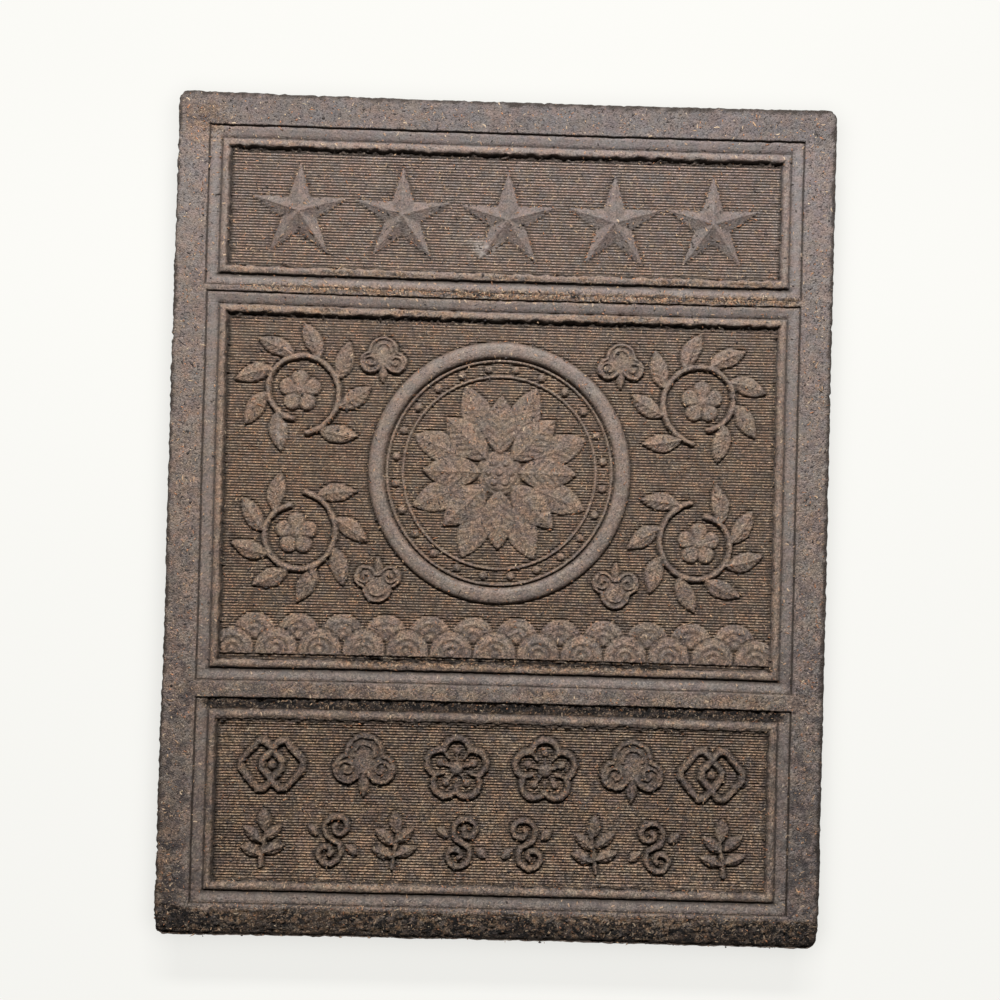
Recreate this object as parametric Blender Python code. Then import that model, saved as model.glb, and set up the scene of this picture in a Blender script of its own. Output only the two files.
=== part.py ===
"""Pressed black tea brick, lying flat with its relief face up.

One closed solid: a rounded slab with three framed, sunken panels. The upper
panel holds a row of five stars, the middle one a round lotus medallion
between flower scrolls above a band of waves, and the lower one two rows of
small ornaments. Everything is laid out in millimetres from the lower left
corner of the slab, and scaled to metres at the end.
Origin: centre of the flat underside. +Y: the brick's long side. +Z: up.
"""

import math

import bmesh
import bpy
from mathutils import Matrix, Vector

# ------------------------------------------------------------------ sizes, mm
WIDTH = 187.0            # X
LENGTH = 237.5           # Y
THICK = 22.0             # Z, to the top of the border
CORNER_R = 3.0           # plan corners
CORNER_STEPS = 5
EDGE_TOP = 0.9           # worn upper edge
EDGE_BASE = 0.6          # worn lower edge
# the border falls away along the slab's foot: distance from the foot, height below the border
FOOT = ((7.2, 0.0), (4.4, -0.50), (1.8, -1.40), (-1.0, -3.00))

# outer rectangles of the three sunken panels: x0, y0, x1, y1
PANELS = {
    "upper": (8.8, 182.65, 178.0, 228.4),
    "middle": (9.3, 71.4, 177.9, 181.25),
    "lower": (9.6, 8.9, 177.9, 67.0),
}
# frame profile: distance inwards from the outer rectangle, height below the border
PROFILE = (
    (-0.36, 0.0),
    (0.02, -0.16),
    (0.34, -0.58),
    (3.16, -1.22),
    (3.50, -1.56),
    (3.92, -1.16),
    (4.44, -0.82),
    (5.10, -0.70),
    (5.66, -1.04),
    (6.02, -1.70),
    (6.36, -2.45),
)
FLOOR = -2.45            # panel floor, below the border
ROOT = 0.9               # how far the ornaments reach into the slab

STAR_R = 14.6
STAR_INNER = 0.37
STAR_RISE = 2.2
STAR_CENTRES = ((34.5, 204.6), (63.8, 204.3), (93.8, 203.8), (124.2, 203.9), (152.4, 204.2))

MEDALLION = (93.4, 132.0)
RING_R = 35.0            # middle of the smooth ring
RING_W = 4.6
BEAD_RING_R = 29.6
BEADS = 24

SCROLL_X = 36.2          # centre line of the left flower scrolls
SCROLL_Y = (153.6, 113.2)
SCROLL_R = 12.0

ROW_1_Y, ROW_1_X = 47.8, (31.5, 57.5, 83.6, 108.6, 133.4, 156.0)
ROW_2_Y, ROW_2_X = 27.0, (30.5, 49.2, 67.6, 85.6, 104.0, 122.2, 140.3, 158.6)
ROW_1_SCALE, ROW_2_SCALE = 1.1, 1.15


# -------------------------------------------------------------- mesh helpers
def mesh_object(name, verts, faces):
    """A closed body from points and faces, its faces turned outwards."""
    bm = bmesh.new()
    vs = [bm.verts.new(v) for v in verts]
    for f in faces:
        bm.faces.new([vs[i] for i in f])
    bmesh.ops.recalc_face_normals(bm, faces=bm.faces)
    me = bpy.data.meshes.new(name)
    bm.to_mesh(me)
    bm.free()
    ob = bpy.data.objects.new(name, me)
    bpy.context.scene.collection.objects.link(ob)
    return ob


def ring_stack(rings):
    """Points and faces of a body made of stacked rings with equal counts, capped at both ends."""
    n = len(rings[0])
    verts = [p for ring in rings for p in ring]
    faces = []
    for k in range(len(rings) - 1):
        for i in range(n):
            j = (i + 1) % n
            faces.append((k * n + i, k * n + j, (k + 1) * n + j, (k + 1) * n + i))
    faces.append(tuple(range(n))[::-1])
    faces.append(tuple((len(rings) - 1) * n + i for i in range(n)))
    return verts, faces


def rounded_rect(inset, z):
    """Plan outline of the slab, moved inwards by inset."""
    pts = []
    r = max(CORNER_R - inset, 0.6)
    for cx, cy, a0 in (
        (WIDTH - inset - r, LENGTH - inset - r, 0),
        (inset + r, LENGTH - inset - r, 90),
        (inset + r, inset + r, 180),
        (WIDTH - inset - r, inset + r, 270),
    ):
        for k in range(CORNER_STEPS + 1):
            a = math.radians(a0 + 90 * k / CORNER_STEPS)
            pts.append((cx + r * math.cos(a), cy + r * math.sin(a), z))
    return pts


def rect(box, inset, z):
    x0, y0, x1, y1 = box
    return [
        (x0 + inset, y0 + inset, z),
        (x1 - inset, y0 + inset, z),
        (x1 - inset, y1 - inset, z),
        (x0 + inset, y1 - inset, z),
    ]


class Relief:
    """Collects the raised bodies of the panels. Heights are above the panel floor."""

    def __init__(self):
        self.bodies = []
        self.count = 0

    def base(self):
        """Each body is rooted a little deeper than the last, so no two share a plane."""
        self.count += 1
        return THICK + FLOOR - ROOT - 0.004 * (self.count % 60)

    def add(self, verts, faces):
        self.bodies.append((verts, faces))

    def boss(self, outline, height, top_scale=0.82):
        """A raised field with sloping sides: an outline, and the same outline drawn in at the top."""
        n = len(outline)
        cx = sum(p[0] for p in outline) / n
        cy = sum(p[1] for p in outline) / n
        zb, zt = self.base(), THICK + FLOOR + height
        flare = 1 + (1 - top_scale) * 0.3
        low = [(cx + (x - cx) * flare, cy + (y - cy) * flare, zb) for x, y in outline]
        top = [(cx + (x - cx) * top_scale, cy + (y - cy) * top_scale, zt) for x, y in outline]
        self.add(*ring_stack([low, top]))

    def dot(self, x, y, r, height, sides=8):
        self.boss(
            [(x + r * math.cos(2 * math.pi * k / sides), y + r * math.sin(2 * math.pi * k / sides)) for k in range(sides)],
            height,
            0.55,
        )

    def stroke(self, points, width, height, closed=False, taper=0.0):
        """A raised line with a drafted section along plan points. taper narrows an open line's ends."""
        zb, zf = self.base(), THICK + FLOOR
        n = len(points)
        sections = []
        for i, (x, y) in enumerate(points):
            if closed:
                ax, ay = points[i - 1]
                bx, by = points[(i + 1) % n]
            else:
                ax, ay = points[max(i - 1, 0)]
                bx, by = points[min(i + 1, n - 1)]
            t = Vector((bx - ax, by - ay))
            t.normalize()
            s = Vector((-t.y, t.x))
            half = width / 2
            if not closed and taper:
                half *= 1 - taper * abs(2 * i / (n - 1) - 1) ** 3
            foot, top = 1.12 * half, 0.58 * half
            sections.append(
                [
                    (x + s.x * foot, y + s.y * foot, zb),
                    (x + s.x * top, y + s.y * top, zf + height),
                    (x - s.x * top, y - s.y * top, zf + height),
                    (x - s.x * foot, y - s.y * foot, zb),
                ]
            )
        m = len(sections[0])
        verts = [p for sec in sections for p in sec]
        faces = []
        for i in range(n if closed else n - 1):
            j = (i + 1) % n
            for k in range(m):
                q = (k + 1) % m
                faces.append((i * m + k, i * m + q, j * m + q, j * m + k))
        if not closed:
            faces.append(tuple(range(m))[::-1])
            faces.append(tuple((n - 1) * m + k for k in range(m)))
        self.add(verts, faces)

    def leaf(self, x, y, angle, length, width, height, steps=5, bend=0.0, blunt=1.0):
        """A leaf or petal: rounded sides that meet at both ends, and slopes that rise to a ridge along the middle."""
        self.count += 1
        root = 0.34 + 0.004 * (self.count % 40)
        zb, zf = THICK + FLOOR - root, THICK + FLOOR
        flare = (height + root) / height
        ca, sa = math.cos(angle), math.sin(angle)
        left, mid, right = [], [], []
        for k in range(1, steps):
            t = k / steps
            w = 0.5 * width * flare * math.sin(math.pi * t ** blunt) ** 0.8
            along = length * t
            off = bend * length * t * t
            for lst, o in ((left, off + w), (mid, off), (right, off - w)):
                lst.append((x + ca * along - sa * o, y + sa * along + ca * o))
        p0 = (x, y)
        p1 = (x + ca * length - sa * bend * length, y + sa * length + ca * bend * length)
        rim = [p0] + right + [p1] + left[::-1]
        n = len(rim)
        verts = [(px, py, zb) for px, py in rim]
        faces = [tuple(range(n))[::-1]]
        ridge = []
        for k, (px, py) in enumerate(mid):
            ridge.append(len(verts))
            verts.append((px, py, zf + height * (0.82 + 0.18 * math.sin(math.pi * (k + 1) / steps))))
        r_idx = [1 + k for k in range(steps - 1)]
        l_idx = [n - 1 - k for k in range(steps - 1)]
        start, end = 0, steps
        faces += [(start, r_idx[0], ridge[0]), (start, ridge[0], l_idx[0])]
        for k in range(steps - 2):
            for quad in (
                (r_idx[k], r_idx[k + 1], ridge[k + 1], ridge[k]),
                (ridge[k], ridge[k + 1], l_idx[k + 1], l_idx[k]),
            ):
                faces += [(quad[0], quad[1], quad[2]), (quad[0], quad[2], quad[3])]
        faces += [(r_idx[-1], end, ridge[-1]), (ridge[-1], end, l_idx[-1])]
        self.add(verts, faces)

    def star(self, x, y):
        """A low five-pointed star, ten facets that rise from its outline to its centre."""
        zb, zf = self.base(), THICK + FLOOR
        rim = []
        for k in range(10):
            a = math.radians(90 + 36 * k)
            r = STAR_R if k % 2 == 0 else STAR_R * STAR_INNER
            rim.append((x + r * math.cos(a), y + r * math.sin(a)))
        verts = [(px, py, zb) for px, py in rim] + [(px, py, zf + 0.10) for px, py in rim] + [(x, y, zf + STAR_RISE)]
        faces = [tuple(range(10))[::-1]]
        faces += [(i, (i + 1) % 10, 10 + (i + 1) % 10, 10 + i) for i in range(10)]
        faces += [(10 + i, 10 + (i + 1) % 10, 20) for i in range(10)]
        self.add(verts, faces)


class Grown:
    """Passes shapes on to a relief, enlarged about a point."""

    def __init__(self, rel, cx, cy, s):
        self.rel, self.cx, self.cy, self.s = rel, cx, cy, s

    def at(self, x, y):
        return self.cx + (x - self.cx) * self.s, self.cy + (y - self.cy) * self.s

    def stroke(self, points, width, *rest, **more):
        self.rel.stroke([self.at(*q) for q in points], width * self.s, *rest, **more)

    def boss(self, outline, *rest, **more):
        self.rel.boss([self.at(*q) for q in outline], *rest, **more)

    def dot(self, x, y, r, *rest, **more):
        self.rel.dot(*self.at(x, y), r * self.s, *rest, **more)

    def leaf(self, x, y, angle, length, width, *rest, **more):
        self.rel.leaf(*self.at(x, y), angle, length * self.s, width * self.s, *rest, **more)


# ------------------------------------------------------------ plan outlines
def lobes(cx, cy, circles, steps, turn=0.0, scale=1.0):
    """The outline of overlapping circles, seen from a point that all of it can be seen from."""
    pts = []
    for k in range(steps):
        a = 2 * math.pi * (k + 0.5) / steps
        u = (math.cos(a), math.sin(a))
        best = 0.4
        for x, y, r in circles:
            along = u[0] * x + u[1] * y
            off = abs(u[0] * y - u[1] * x)
            if off < r:
                best = max(best, along + math.sqrt(r * r - off * off))
        b = a + turn
        pts.append((cx + scale * best * math.cos(b), cy + scale * best * math.sin(b)))
    return pts


def spiral(cx, cy, r0, r1, a0, turns, steps):
    """A spiral from radius r0 to r1, from angle a0 in degrees."""
    pts = []
    for k in range(steps + 1):
        t = k / steps
        a = math.radians(a0) + 2 * math.pi * turns * t
        r = r0 + (r1 - r0) * t
        pts.append((cx + r * math.cos(a), cy + r * math.sin(a)))
    return pts


RUYI = ((-4.3, -1.2, 3.3), (4.3, -1.2, 3.3), (0.0, 2.6, 4.6))
BLOSSOM = tuple((4.5 * math.sin(2 * math.pi * k / 5), 4.5 * math.cos(2 * math.pi * k / 5), 3.35) for k in range(5))


# ------------------------------------------------------------------- motifs
def ruyi_cloud(rel, x, y, s=1.0, flip=1):
    """A three-lobed cloud head with a curl in each lower lobe and a short stalk."""
    rel.boss(lobes(x, y, [(a, b * flip, r) for a, b, r in RUYI], 18, 0.0, s), 0.75, 0.9)
    for side in (-1, 1):
        a0, turns = (-60, 1.15) if side * flip > 0 else (240, -1.15)
        if flip < 0:
            a0 = 60 if side > 0 else 120
            turns = -1.15 if side > 0 else 1.15
        else:
            a0 = -60 if side > 0 else 240
            turns = 1.15 if side > 0 else -1.15
        rel.stroke(spiral(x + side * 4.3 * s, y - 1.2 * s * flip, 2.9 * s, 0.7 * s, a0, turns, 8), 1.1 * s, 1.35)
    rel.leaf(x, y - 1.0 * s * flip, math.radians(-90 * flip), 7.6 * s, 3.0 * s, 1.3, 4)


def blossom_motif(rel, x, y):
    """A five-petalled blossom drawn as a raised line, with a boss and five stamens."""
    rel.stroke(lobes(x, y, BLOSSOM, 25), 1.7, 1.3, closed=True)
    rel.dot(x, y, 1.7, 1.25, 8)
    for k in range(5):
        a = math.radians(90 + 72 * k)
        rel.dot(x + 4.4 * math.cos(a), y + 4.4 * math.sin(a), 1.0, 1.1, 5)


def lozenge_motif(rel, x, y):
    """Two interlocked lozenges drawn with raised lines."""
    h, v, c = 6.1, 7.1, 0.86
    for k, dx in enumerate((-2.72, 2.68)):
        corners = ((h, 0.0), (0.0, v), (-h, 0.0), (0.0, -v))
        pts = []
        for i in range(4):
            (ax, ay), (bx, by) = corners[i], corners[(i + 1) % 4]
            for t in (1 - c, 0.5, c):
                pts.append((x + dx + ax + (bx - ax) * t, y + 0.03 * k + ay + (by - ay) * t))
        rel.stroke(pts, 1.8, 1.25 + 0.12 * k, closed=True)
    rel.dot(x, y, 1.2, 1.1, 6)


def sprig_motif(rel, x, y, side):
    """A short stem with five leaves."""
    stem = [(x + side * 1.6 * math.sin(0.9 - 0.16 * k), y - 6.6 + 1.6 * k) for k in range(7)]
    rel.stroke(stem, 1.1, 1.15)
    rel.leaf(x + side * 0.2, y + 1.6, math.radians(90 - side * 8), 6.0, 3.4, 1.3, 4)
    for dy, a, l in ((-0.4, 38, 6.2), (-3.4, 20, 6.0)):
        rel.leaf(x + side * 1.0, y + dy, math.radians(a), l, 2.9, 1.25, 3)
        rel.leaf(x + side * 0.8, y + dy - 0.5, math.radians(180 - a), l, 2.9, 1.25, 3)


def scroll_motif(rel, x, y, side):
    """A curl above and a curl below, joined in an S."""
    up = spiral(x - side * 1.3, y + 3.1, 3.6, 0.9, -40 if side > 0 else 220, 1.2 * side, 8)
    down = spiral(x + side * 1.3, y - 3.1, 3.6, 0.9, 140 if side > 0 else 40, 1.2 * side, 8)
    rel.stroke(up[::-1] + down, 1.35, 1.2)
    rel.leaf(x + side * 3.4, y + 1.2, math.radians(90 - side * 50), 3.6, 2.4, 1.1, 3)
    rel.leaf(x - side * 3.4, y - 1.2, math.radians(-90 - side * 50), 3.6, 2.4, 1.1, 3)


def medallion(rel, cx, cy):
    """A smooth ring, a ring of beads, and a lotus seen from above."""
    steps = 48
    ring = [(cx + RING_R * math.cos(2 * math.pi * k / steps), cy + RING_R * math.sin(2 * math.pi * k / steps)) for k in range(steps)]
    rel.stroke(ring, RING_W, 1.45, closed=True)
    for k in range(BEADS):
        a = 2 * math.pi * (k + 0.5) / BEADS
        rel.dot(cx + BEAD_RING_R * math.cos(a), cy + BEAD_RING_R * math.sin(a), 1.15, 0.95, 5)
    for k in range(8):
        a = math.radians(45 * k + 22.5)
        rel.leaf(cx + 10.5 * math.cos(a), cy + 10.5 * math.sin(a), a, 16.6, 9.0, 0.85, 4, blunt=0.9)
    for k in range(8):
        a = math.radians(45 * k)
        rel.leaf(cx + 5.0 * math.cos(a), cy + 5.0 * math.sin(a), a, 17.2, 9.6, 1.35, 5, blunt=0.9)
    rel.dot(cx, cy, 6.4, 1.75, 16)


def flower(rel, x, y, r):
    """A small open flower: five broad petals round a raised heart."""
    rel.boss(lobes(x, y, BLOSSOM, 20, 0.0, r / 7.6), 1.05, 0.84)
    rel.dot(x, y, 0.27 * r, 1.6, 7)


def flower_scroll(rel, side):
    """Two curling stems, one above the other, with leaves outside and a flower in each curl."""
    mirror = (lambda px: px) if side < 0 else (lambda px: 2 * MEDALLION[0] - px)
    for k, cy in enumerate(SCROLL_Y):
        spin = 1 if k == 0 else -1
        start = -78 if k == 0 else 78
        pts = spiral(SCROLL_X, cy, SCROLL_R, 8.0, start, 0.93 * spin, 14)
        rel.stroke([(mirror(px), py) for px, py in pts], 1.7, 1.25)
        flower(rel, mirror(SCROLL_X), cy, 5.9)
        for j in range(8):
            t = (j + 0.35) / 8.2
            a = math.radians(start + 360 * 0.93 * spin * t)
            r = SCROLL_R + (8.0 - SCROLL_R) * t
            px, py = SCROLL_X + r * math.cos(a), cy + r * math.sin(a)
            out = a + math.radians(46 * spin)
            if side > 0:
                out = math.pi - out
            rel.leaf(mirror(px), py, out, 11.6, 5.4, 1.3, 4, bend=-0.16 * spin * side)


def waves(rel):
    """Two rows of overlapping round wave scales along the foot of the middle panel."""
    for row, (y, z, n, x0) in enumerate(((84.6, 0.7, 12, 25.2), (80.2, 1.05, 13, 19.0))):
        for k in range(n):
            x = x0 + 12.4 * k
            pts = [(x + 6.0 * math.cos(math.pi * q / 6), y + 6.0 * math.sin(math.pi * q / 6)) for q in range(7)]
            pts += [(x - 6.0, y - 0.8), (x + 6.0, y - 0.8)]
            rel.boss(pts, z, 0.72)


# -------------------------------------------------------------------- build
def evaluated(ob):
    """Replaces an object's mesh by what its modifiers make of it."""
    dg = bpy.context.evaluated_depsgraph_get()
    me = bpy.data.meshes.new_from_object(ob.evaluated_get(dg))
    ob.modifiers.clear()
    old = ob.data
    ob.data = me
    bpy.data.meshes.remove(old)


def combine(target, tool, operation):
    m = target.modifiers.new(operation.lower(), "BOOLEAN")
    m.operation = operation
    m.solver = "EXACT"
    m.object = tool
    m.use_self = False
    evaluated(target)
    bpy.data.objects.remove(tool)


def clear_scene():
    for ob in list(bpy.data.objects):
        bpy.data.objects.remove(ob)


def make_brick():
    rings = [
        rounded_rect(EDGE_BASE, 0.0),
        rounded_rect(0.0, EDGE_BASE),
        rounded_rect(0.0, THICK - EDGE_TOP),
        rounded_rect(0.28 * EDGE_TOP, THICK - 0.3 * EDGE_TOP),
        rounded_rect(EDGE_TOP, THICK),
    ]
    brick = mesh_object("tea_brick", *ring_stack(rings))
    for name, box in PANELS.items():
        stack = [rect(box, PROFILE[0][0], THICK + 3.0)]
        stack += [rect(box, d, THICK + z) for d, z in PROFILE]
        cut = mesh_object("cut_" + name, *ring_stack(stack))
        combine(brick, cut, "DIFFERENCE")
    ends = []
    for x in (-2.0, WIDTH + 2.0):
        ends.append([(x, y, THICK + z) for y, z in FOOT] + [(x, FOOT[-1][0], THICK + 3.0), (x, FOOT[0][0], THICK + 3.0)])
    combine(brick, mesh_object("cut_foot", *ring_stack(ends)), "DIFFERENCE")

    rel = Relief()
    for x, y in STAR_CENTRES:
        rel.star(x, y)
    waves(rel)
    medallion(rel, *MEDALLION)
    for side in (-1, 1):
        flower_scroll(rel, side)
        for y, flip, s in ((163.5, 1, 0.82), (100.5, -1, 0.82)):
            ruyi_cloud(rel, MEDALLION[0] + side * 33.8, y, s, flip)
    for i, x in enumerate(ROW_1_X):
        kind = min(i, len(ROW_1_X) - 1 - i)
        grown = Grown(rel, x, ROW_1_Y, ROW_1_SCALE)
        if kind == 0:
            lozenge_motif(grown, x, ROW_1_Y)
        elif kind == 1:
            ruyi_cloud(grown, x, ROW_1_Y + 0.6, 1.0, 1)
        else:
            blossom_motif(grown, x, ROW_1_Y)
    for i, x in enumerate(ROW_2_X):
        side = -1 if i < len(ROW_2_X) / 2 else 1
        grown = Grown(rel, x, ROW_2_Y, ROW_2_SCALE)
        if min(i, len(ROW_2_X) - 1 - i) % 2 == 0:
            sprig_motif(grown, x, ROW_2_Y, side)
        else:
            scroll_motif(grown, x, ROW_2_Y, side)
    for k, (verts, faces) in enumerate(rel.bodies):
        combine(brick, mesh_object("raise_%03d" % k, verts, faces), "UNION")

    # metres, origin at the centre of the underside
    brick.data.transform(Matrix.Scale(0.001, 4) @ Matrix.Translation((-WIDTH / 2, -LENGTH / 2, 0)))
    return brick


def pressed_tea():
    """Fine black tea dust, pressed hard: dark grey-brown, dull."""
    mat = bpy.data.materials.new("pressed_tea")
    mat.use_nodes = True
    bsdf = mat.node_tree.nodes["Principled BSDF"]
    bsdf.inputs["Base Color"].default_value = (0.118, 0.088, 0.072, 1.0)
    bsdf.inputs["Roughness"].default_value = 0.82
    bsdf.inputs["Metallic"].default_value = 0.0
    return mat


def main():
    clear_scene()
    brick = make_brick()
    brick.data.materials.clear()
    brick.data.materials.append(pressed_tea())
    brick.data.shade_smooth()
    brick.data.set_sharp_from_angle(angle=math.radians(28))


main()
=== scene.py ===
"""Looks of the pressed black tea brick: its relief, ribs and crumbly pressed-tea surface.

Plan lengths are in millimetres from the brick's lower left corner, heights in
millimetres above its underside. put() turns both into metres in the row frame.
"""
import math

import bpy
import numpy as np
from mathutils import Euler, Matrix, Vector


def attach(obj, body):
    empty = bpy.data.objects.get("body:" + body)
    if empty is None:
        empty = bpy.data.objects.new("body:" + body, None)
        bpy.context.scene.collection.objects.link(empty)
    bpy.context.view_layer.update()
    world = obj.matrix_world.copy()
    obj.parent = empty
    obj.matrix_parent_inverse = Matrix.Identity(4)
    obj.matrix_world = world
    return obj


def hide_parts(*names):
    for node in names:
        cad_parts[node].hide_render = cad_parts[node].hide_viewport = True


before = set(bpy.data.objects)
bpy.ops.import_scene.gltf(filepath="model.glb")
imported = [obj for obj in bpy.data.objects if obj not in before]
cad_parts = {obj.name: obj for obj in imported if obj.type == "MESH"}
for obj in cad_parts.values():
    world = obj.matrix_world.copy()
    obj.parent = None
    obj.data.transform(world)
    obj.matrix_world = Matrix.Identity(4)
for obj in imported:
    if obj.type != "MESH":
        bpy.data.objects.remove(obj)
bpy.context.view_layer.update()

# ------------------------------------------------------------------ sizes, mm
W, L, T = 187.0, 237.5, 22.0
CORNER_R = 2.8
EDGE = 0.75
FLOOR = -2.45
HIDDEN = -3.35                      # the body's own floor, under the panel plates
PITCH = 0.79                        # ribs
PANELS = {
    "upper": (8.8, 182.65, 178.0, 228.4),
    "middle": (9.3, 71.4, 177.9, 181.25),
    "lower": (9.6, 8.9, 177.9, 67.0),
}
# across a panel's frame, from its outer line inwards: distance, height below the border, and how dark shade is painted
# there (the step line, the dip before the bead and the bead's inner foot)
PROFILE = (
    (-0.36, 0.00, 0.0), (-0.12, -0.03, 0.0), (0.00, -0.18, 0.2), (0.10, -0.68, 0.8), (0.26, -0.84, 1.0),
    (0.42, -0.70, 0.6), (0.58, -0.54, 0.0), (1.40, -0.76, 0.0), (2.30, -0.99, 0.0), (3.16, -1.22, 0.0),
    (3.32, -1.48, 0.5), (3.50, -1.62, 0.9), (3.66, -1.54, 0.6), (3.86, -1.22, 0.2), (4.12, -0.98, 0.0),
    (4.44, -0.82, 0.0), (4.80, -0.72, 0.0), (5.12, -0.71, 0.0), (5.42, -0.82, 0.0), (5.70, -1.08, 0.0),
    (5.94, -1.50, 0.1), (6.14, -2.06, 0.5), (6.32, -2.75, 0.9), (6.80, -3.10, 1.0), (7.40, -3.35, 1.0),
)
PROFILE_D, PROFILE_Z, PROFILE_SHADE = (np.array(c) for c in zip(*PROFILE))

STAR_R, STAR_INNER, STAR_RISE = 14.6, 0.37, 2.2
STARS = ((34.5, 204.6), (63.8, 204.3), (93.8, 203.8), (124.2, 203.9), (152.4, 204.2))
MEDALLION = (93.4, 132.0)
RING_R, RING_W, BEAD_RING_R, BEADS = 35.0, 4.6, 29.6, 24
SCROLL_X, SCROLL_Y, SCROLL_R = 36.2, (153.6, 113.2), 12.0
ROW_1_Y, ROW_1_X = 47.8, (31.5, 57.5, 83.6, 108.6, 133.4, 156.0)
ROW_2_Y, ROW_2_X = 27.0, (30.5, 49.2, 67.6, 85.6, 104.0, 122.2, 140.3, 158.6)
ROW_1_SCALE, ROW_2_SCALE = 1.1, 1.15


def put(x, y, z):
    """Brick millimetres to row-frame metres. The press leaves the sides and frames a few tenths of a millimetre out of straight."""
    u = 2 * x / W - 1
    bow = np.interp(y, (0, 9, 67, 72, 181, 183, 228, L), (0.34, 0.10, 0.55, 0.45, -0.48, -0.42, -0.22, -0.55))
    dy = bow * (0.5 - u * u) - np.interp(y, (0, 8), (0.16, 0.0)) * (1 + np.clip(1 - x / 70, 0, 1))
    dx = 0.30 * np.exp(-(((y - 92) / 34) ** 2)) * np.clip(1 - x / 90, 0, 1) - 0.24 * np.clip((x - 97) / 90, 0, 1)
    return np.stack([(x + dx - W / 2) * 0.001, (y + dy - L / 2) * 0.001, z * 0.001], -1)


# ---------------------------------------------------------------------- noise
class Noise:
    """Smooth value noise on a repeating random lattice."""

    def __init__(self, seed, n=509):
        self.n = n
        self.t = np.random.default_rng(seed).uniform(-1, 1, (n, n)).astype(np.float32)

    def __call__(self, x, y, cell, stretch=1.0):
        u, v = x / (cell * stretch), y / cell
        i, j = np.floor(u).astype(np.int64), np.floor(v).astype(np.int64)
        fu, fv = u - i, v - j
        fu, fv = fu * fu * (3 - 2 * fu), fv * fv * (3 - 2 * fv)
        n, t = self.n, self.t
        i0, i1, j0, j1 = i % n, (i + 1) % n, j % n, (j + 1) % n
        a = t[i0, j0] * (1 - fu) + t[i1, j0] * fu
        b = t[i0, j1] * (1 - fu) + t[i1, j1] * fu
        return a * (1 - fv) + b * fv


N1, N2, N3, N4, N5 = (Noise(s) for s in (11, 23, 37, 41, 59))


def blur(a, r):
    """Box blur over 2r+1 points each way."""
    for axis in (0, 1):
        pad = [(0, 0), (0, 0)]
        pad[axis] = (r + 1, r)
        c = np.cumsum(np.pad(a, pad, mode="edge"), axis=axis)
        k = 2 * r + 1
        a = (c[k:] - c[:-k]) / k if axis == 0 else (c[:, k:] - c[:, :-k]) / k
    return a


def smoothstep(a, b, x):
    t = np.clip((x - a) / (b - a), 0, 1)
    return t * t * (3 - 2 * t)


def crumbly(x, y):
    """Where the pressing is loose and grainy: the narrow ridge between the upper panels, the foot border, a few corners."""
    c = 0.16 + 0.14 * smoothstep(0.1, 0.8, N3(x, y, 17.0) * 0.6 + N4(x, y, 6.0) * 0.5)
    ridge = np.exp(-(((y - 182.5) / 1.8) ** 2)) * smoothstep(12, 40, x) * smoothstep(180, 176, x) * 0.72
    heads = np.exp(-(((y - 176.6) / 1.2) ** 2)) * (0.30 + 0.45 * N2(x, y, 11.0)) + np.exp(-(((y - 187.4) / 1.2) ** 2)) * (0.35 + 0.45 * N4(x, y, 9.0))
    heads = heads + np.exp(-(((y - 223.6) / 1.1) ** 2)) * (0.12 + 0.40 * N4(x, y, 10.0))
    heads = np.clip(heads, 0, 1) * smoothstep(13, 18, x) * smoothstep(174, 169, x)
    foot = smoothstep(9.0, 6.6, y) * (0.85 + 0.20 * N2(x, y, 9.0))
    strip = np.exp(-(((y - 69.0) / 2.2) ** 2)) * (0.30 + 0.25 * N2(x, y, 12.0))
    bead = np.exp(-(((y - 77.6) / 1.6) ** 2)) * smoothstep(40, 60, x) * smoothstep(148, 138, x) * 0.8
    corner = np.exp(-(((x - 8) / 9) ** 2 + ((y - 229) / 8) ** 2)) * 0.6
    lower_left = smoothstep(60, 10, y) * smoothstep(10, 2, x) * 0.5
    low_band = np.exp(-(((y - 65.2) / 1.75) ** 4)) * 1.0 * smoothstep(10, 14, x) * smoothstep(178, 174, x)
    return np.clip(c + ridge + heads + foot + strip + bead + corner + lower_left + low_band, 0, 1)


def darkness(x, y):
    """Blue-black blotches, one to a few millimetres across, most of them in the lower half. Over them goes painted
    shade, partly also darker loose tea: on the whole foot border, which rolls away from the light, and on the lower
    panel's top band, which lies in the shadow of the strip above. The lower half also grows a little darker towards the
    bottom, as do the lower side borders and the middle panel's lower bead, while lit takes some darkness off the lower
    panel's floor.
    """
    n = smoothstep(-0.05, 0.50, N5(x, y, 3.6) * 0.55 + N3(x, y, 1.5) * 0.45 + N1(x, y, 0.8) * 0.25)
    side = smoothstep(12, 6, np.minimum(x, W - x))
    low = smoothstep(150, 25, y) * (0.40 + 0.55 * side)
    foot = smoothstep(9.0, 2.5, y)
    band = np.exp(-(((y - 65.2) / 1.75) ** 4)) * smoothstep(10, 13, x) * smoothstep(178, 175, x)
    corner = np.exp(-(((x - 3) / 7) ** 2 + ((y - 232) / 6) ** 2)) * 0.4 + np.exp(-(((x - 184) / 5) ** 2 + ((y - 235) / 4) ** 2)) * 0.5
    lit = smoothstep(80, 40, y) * smoothstep(0, 9, np.minimum(x - 16.5, 171 - x)) * smoothstep(15.5, 17, y) * smoothstep(60.5, 59, y)
    return np.clip(n * (0.08 + 0.80 * low + 0.6 * foot + 0.4 * band + corner) + 0.54 * foot + 0.90 * band + 0.22 * smoothstep(90, 50, y) * smoothstep(9, 7, x) + 0.06 * smoothstep(70, 50, y) * smoothstep(178, 180, x) + 0.22 * np.exp(-(((y - 78.2) / 1.3) ** 2)) * smoothstep(16, 20, x) * smoothstep(171, 167, x) + 0.06 * low - 0.25 * lit, 0, 1)


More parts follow.
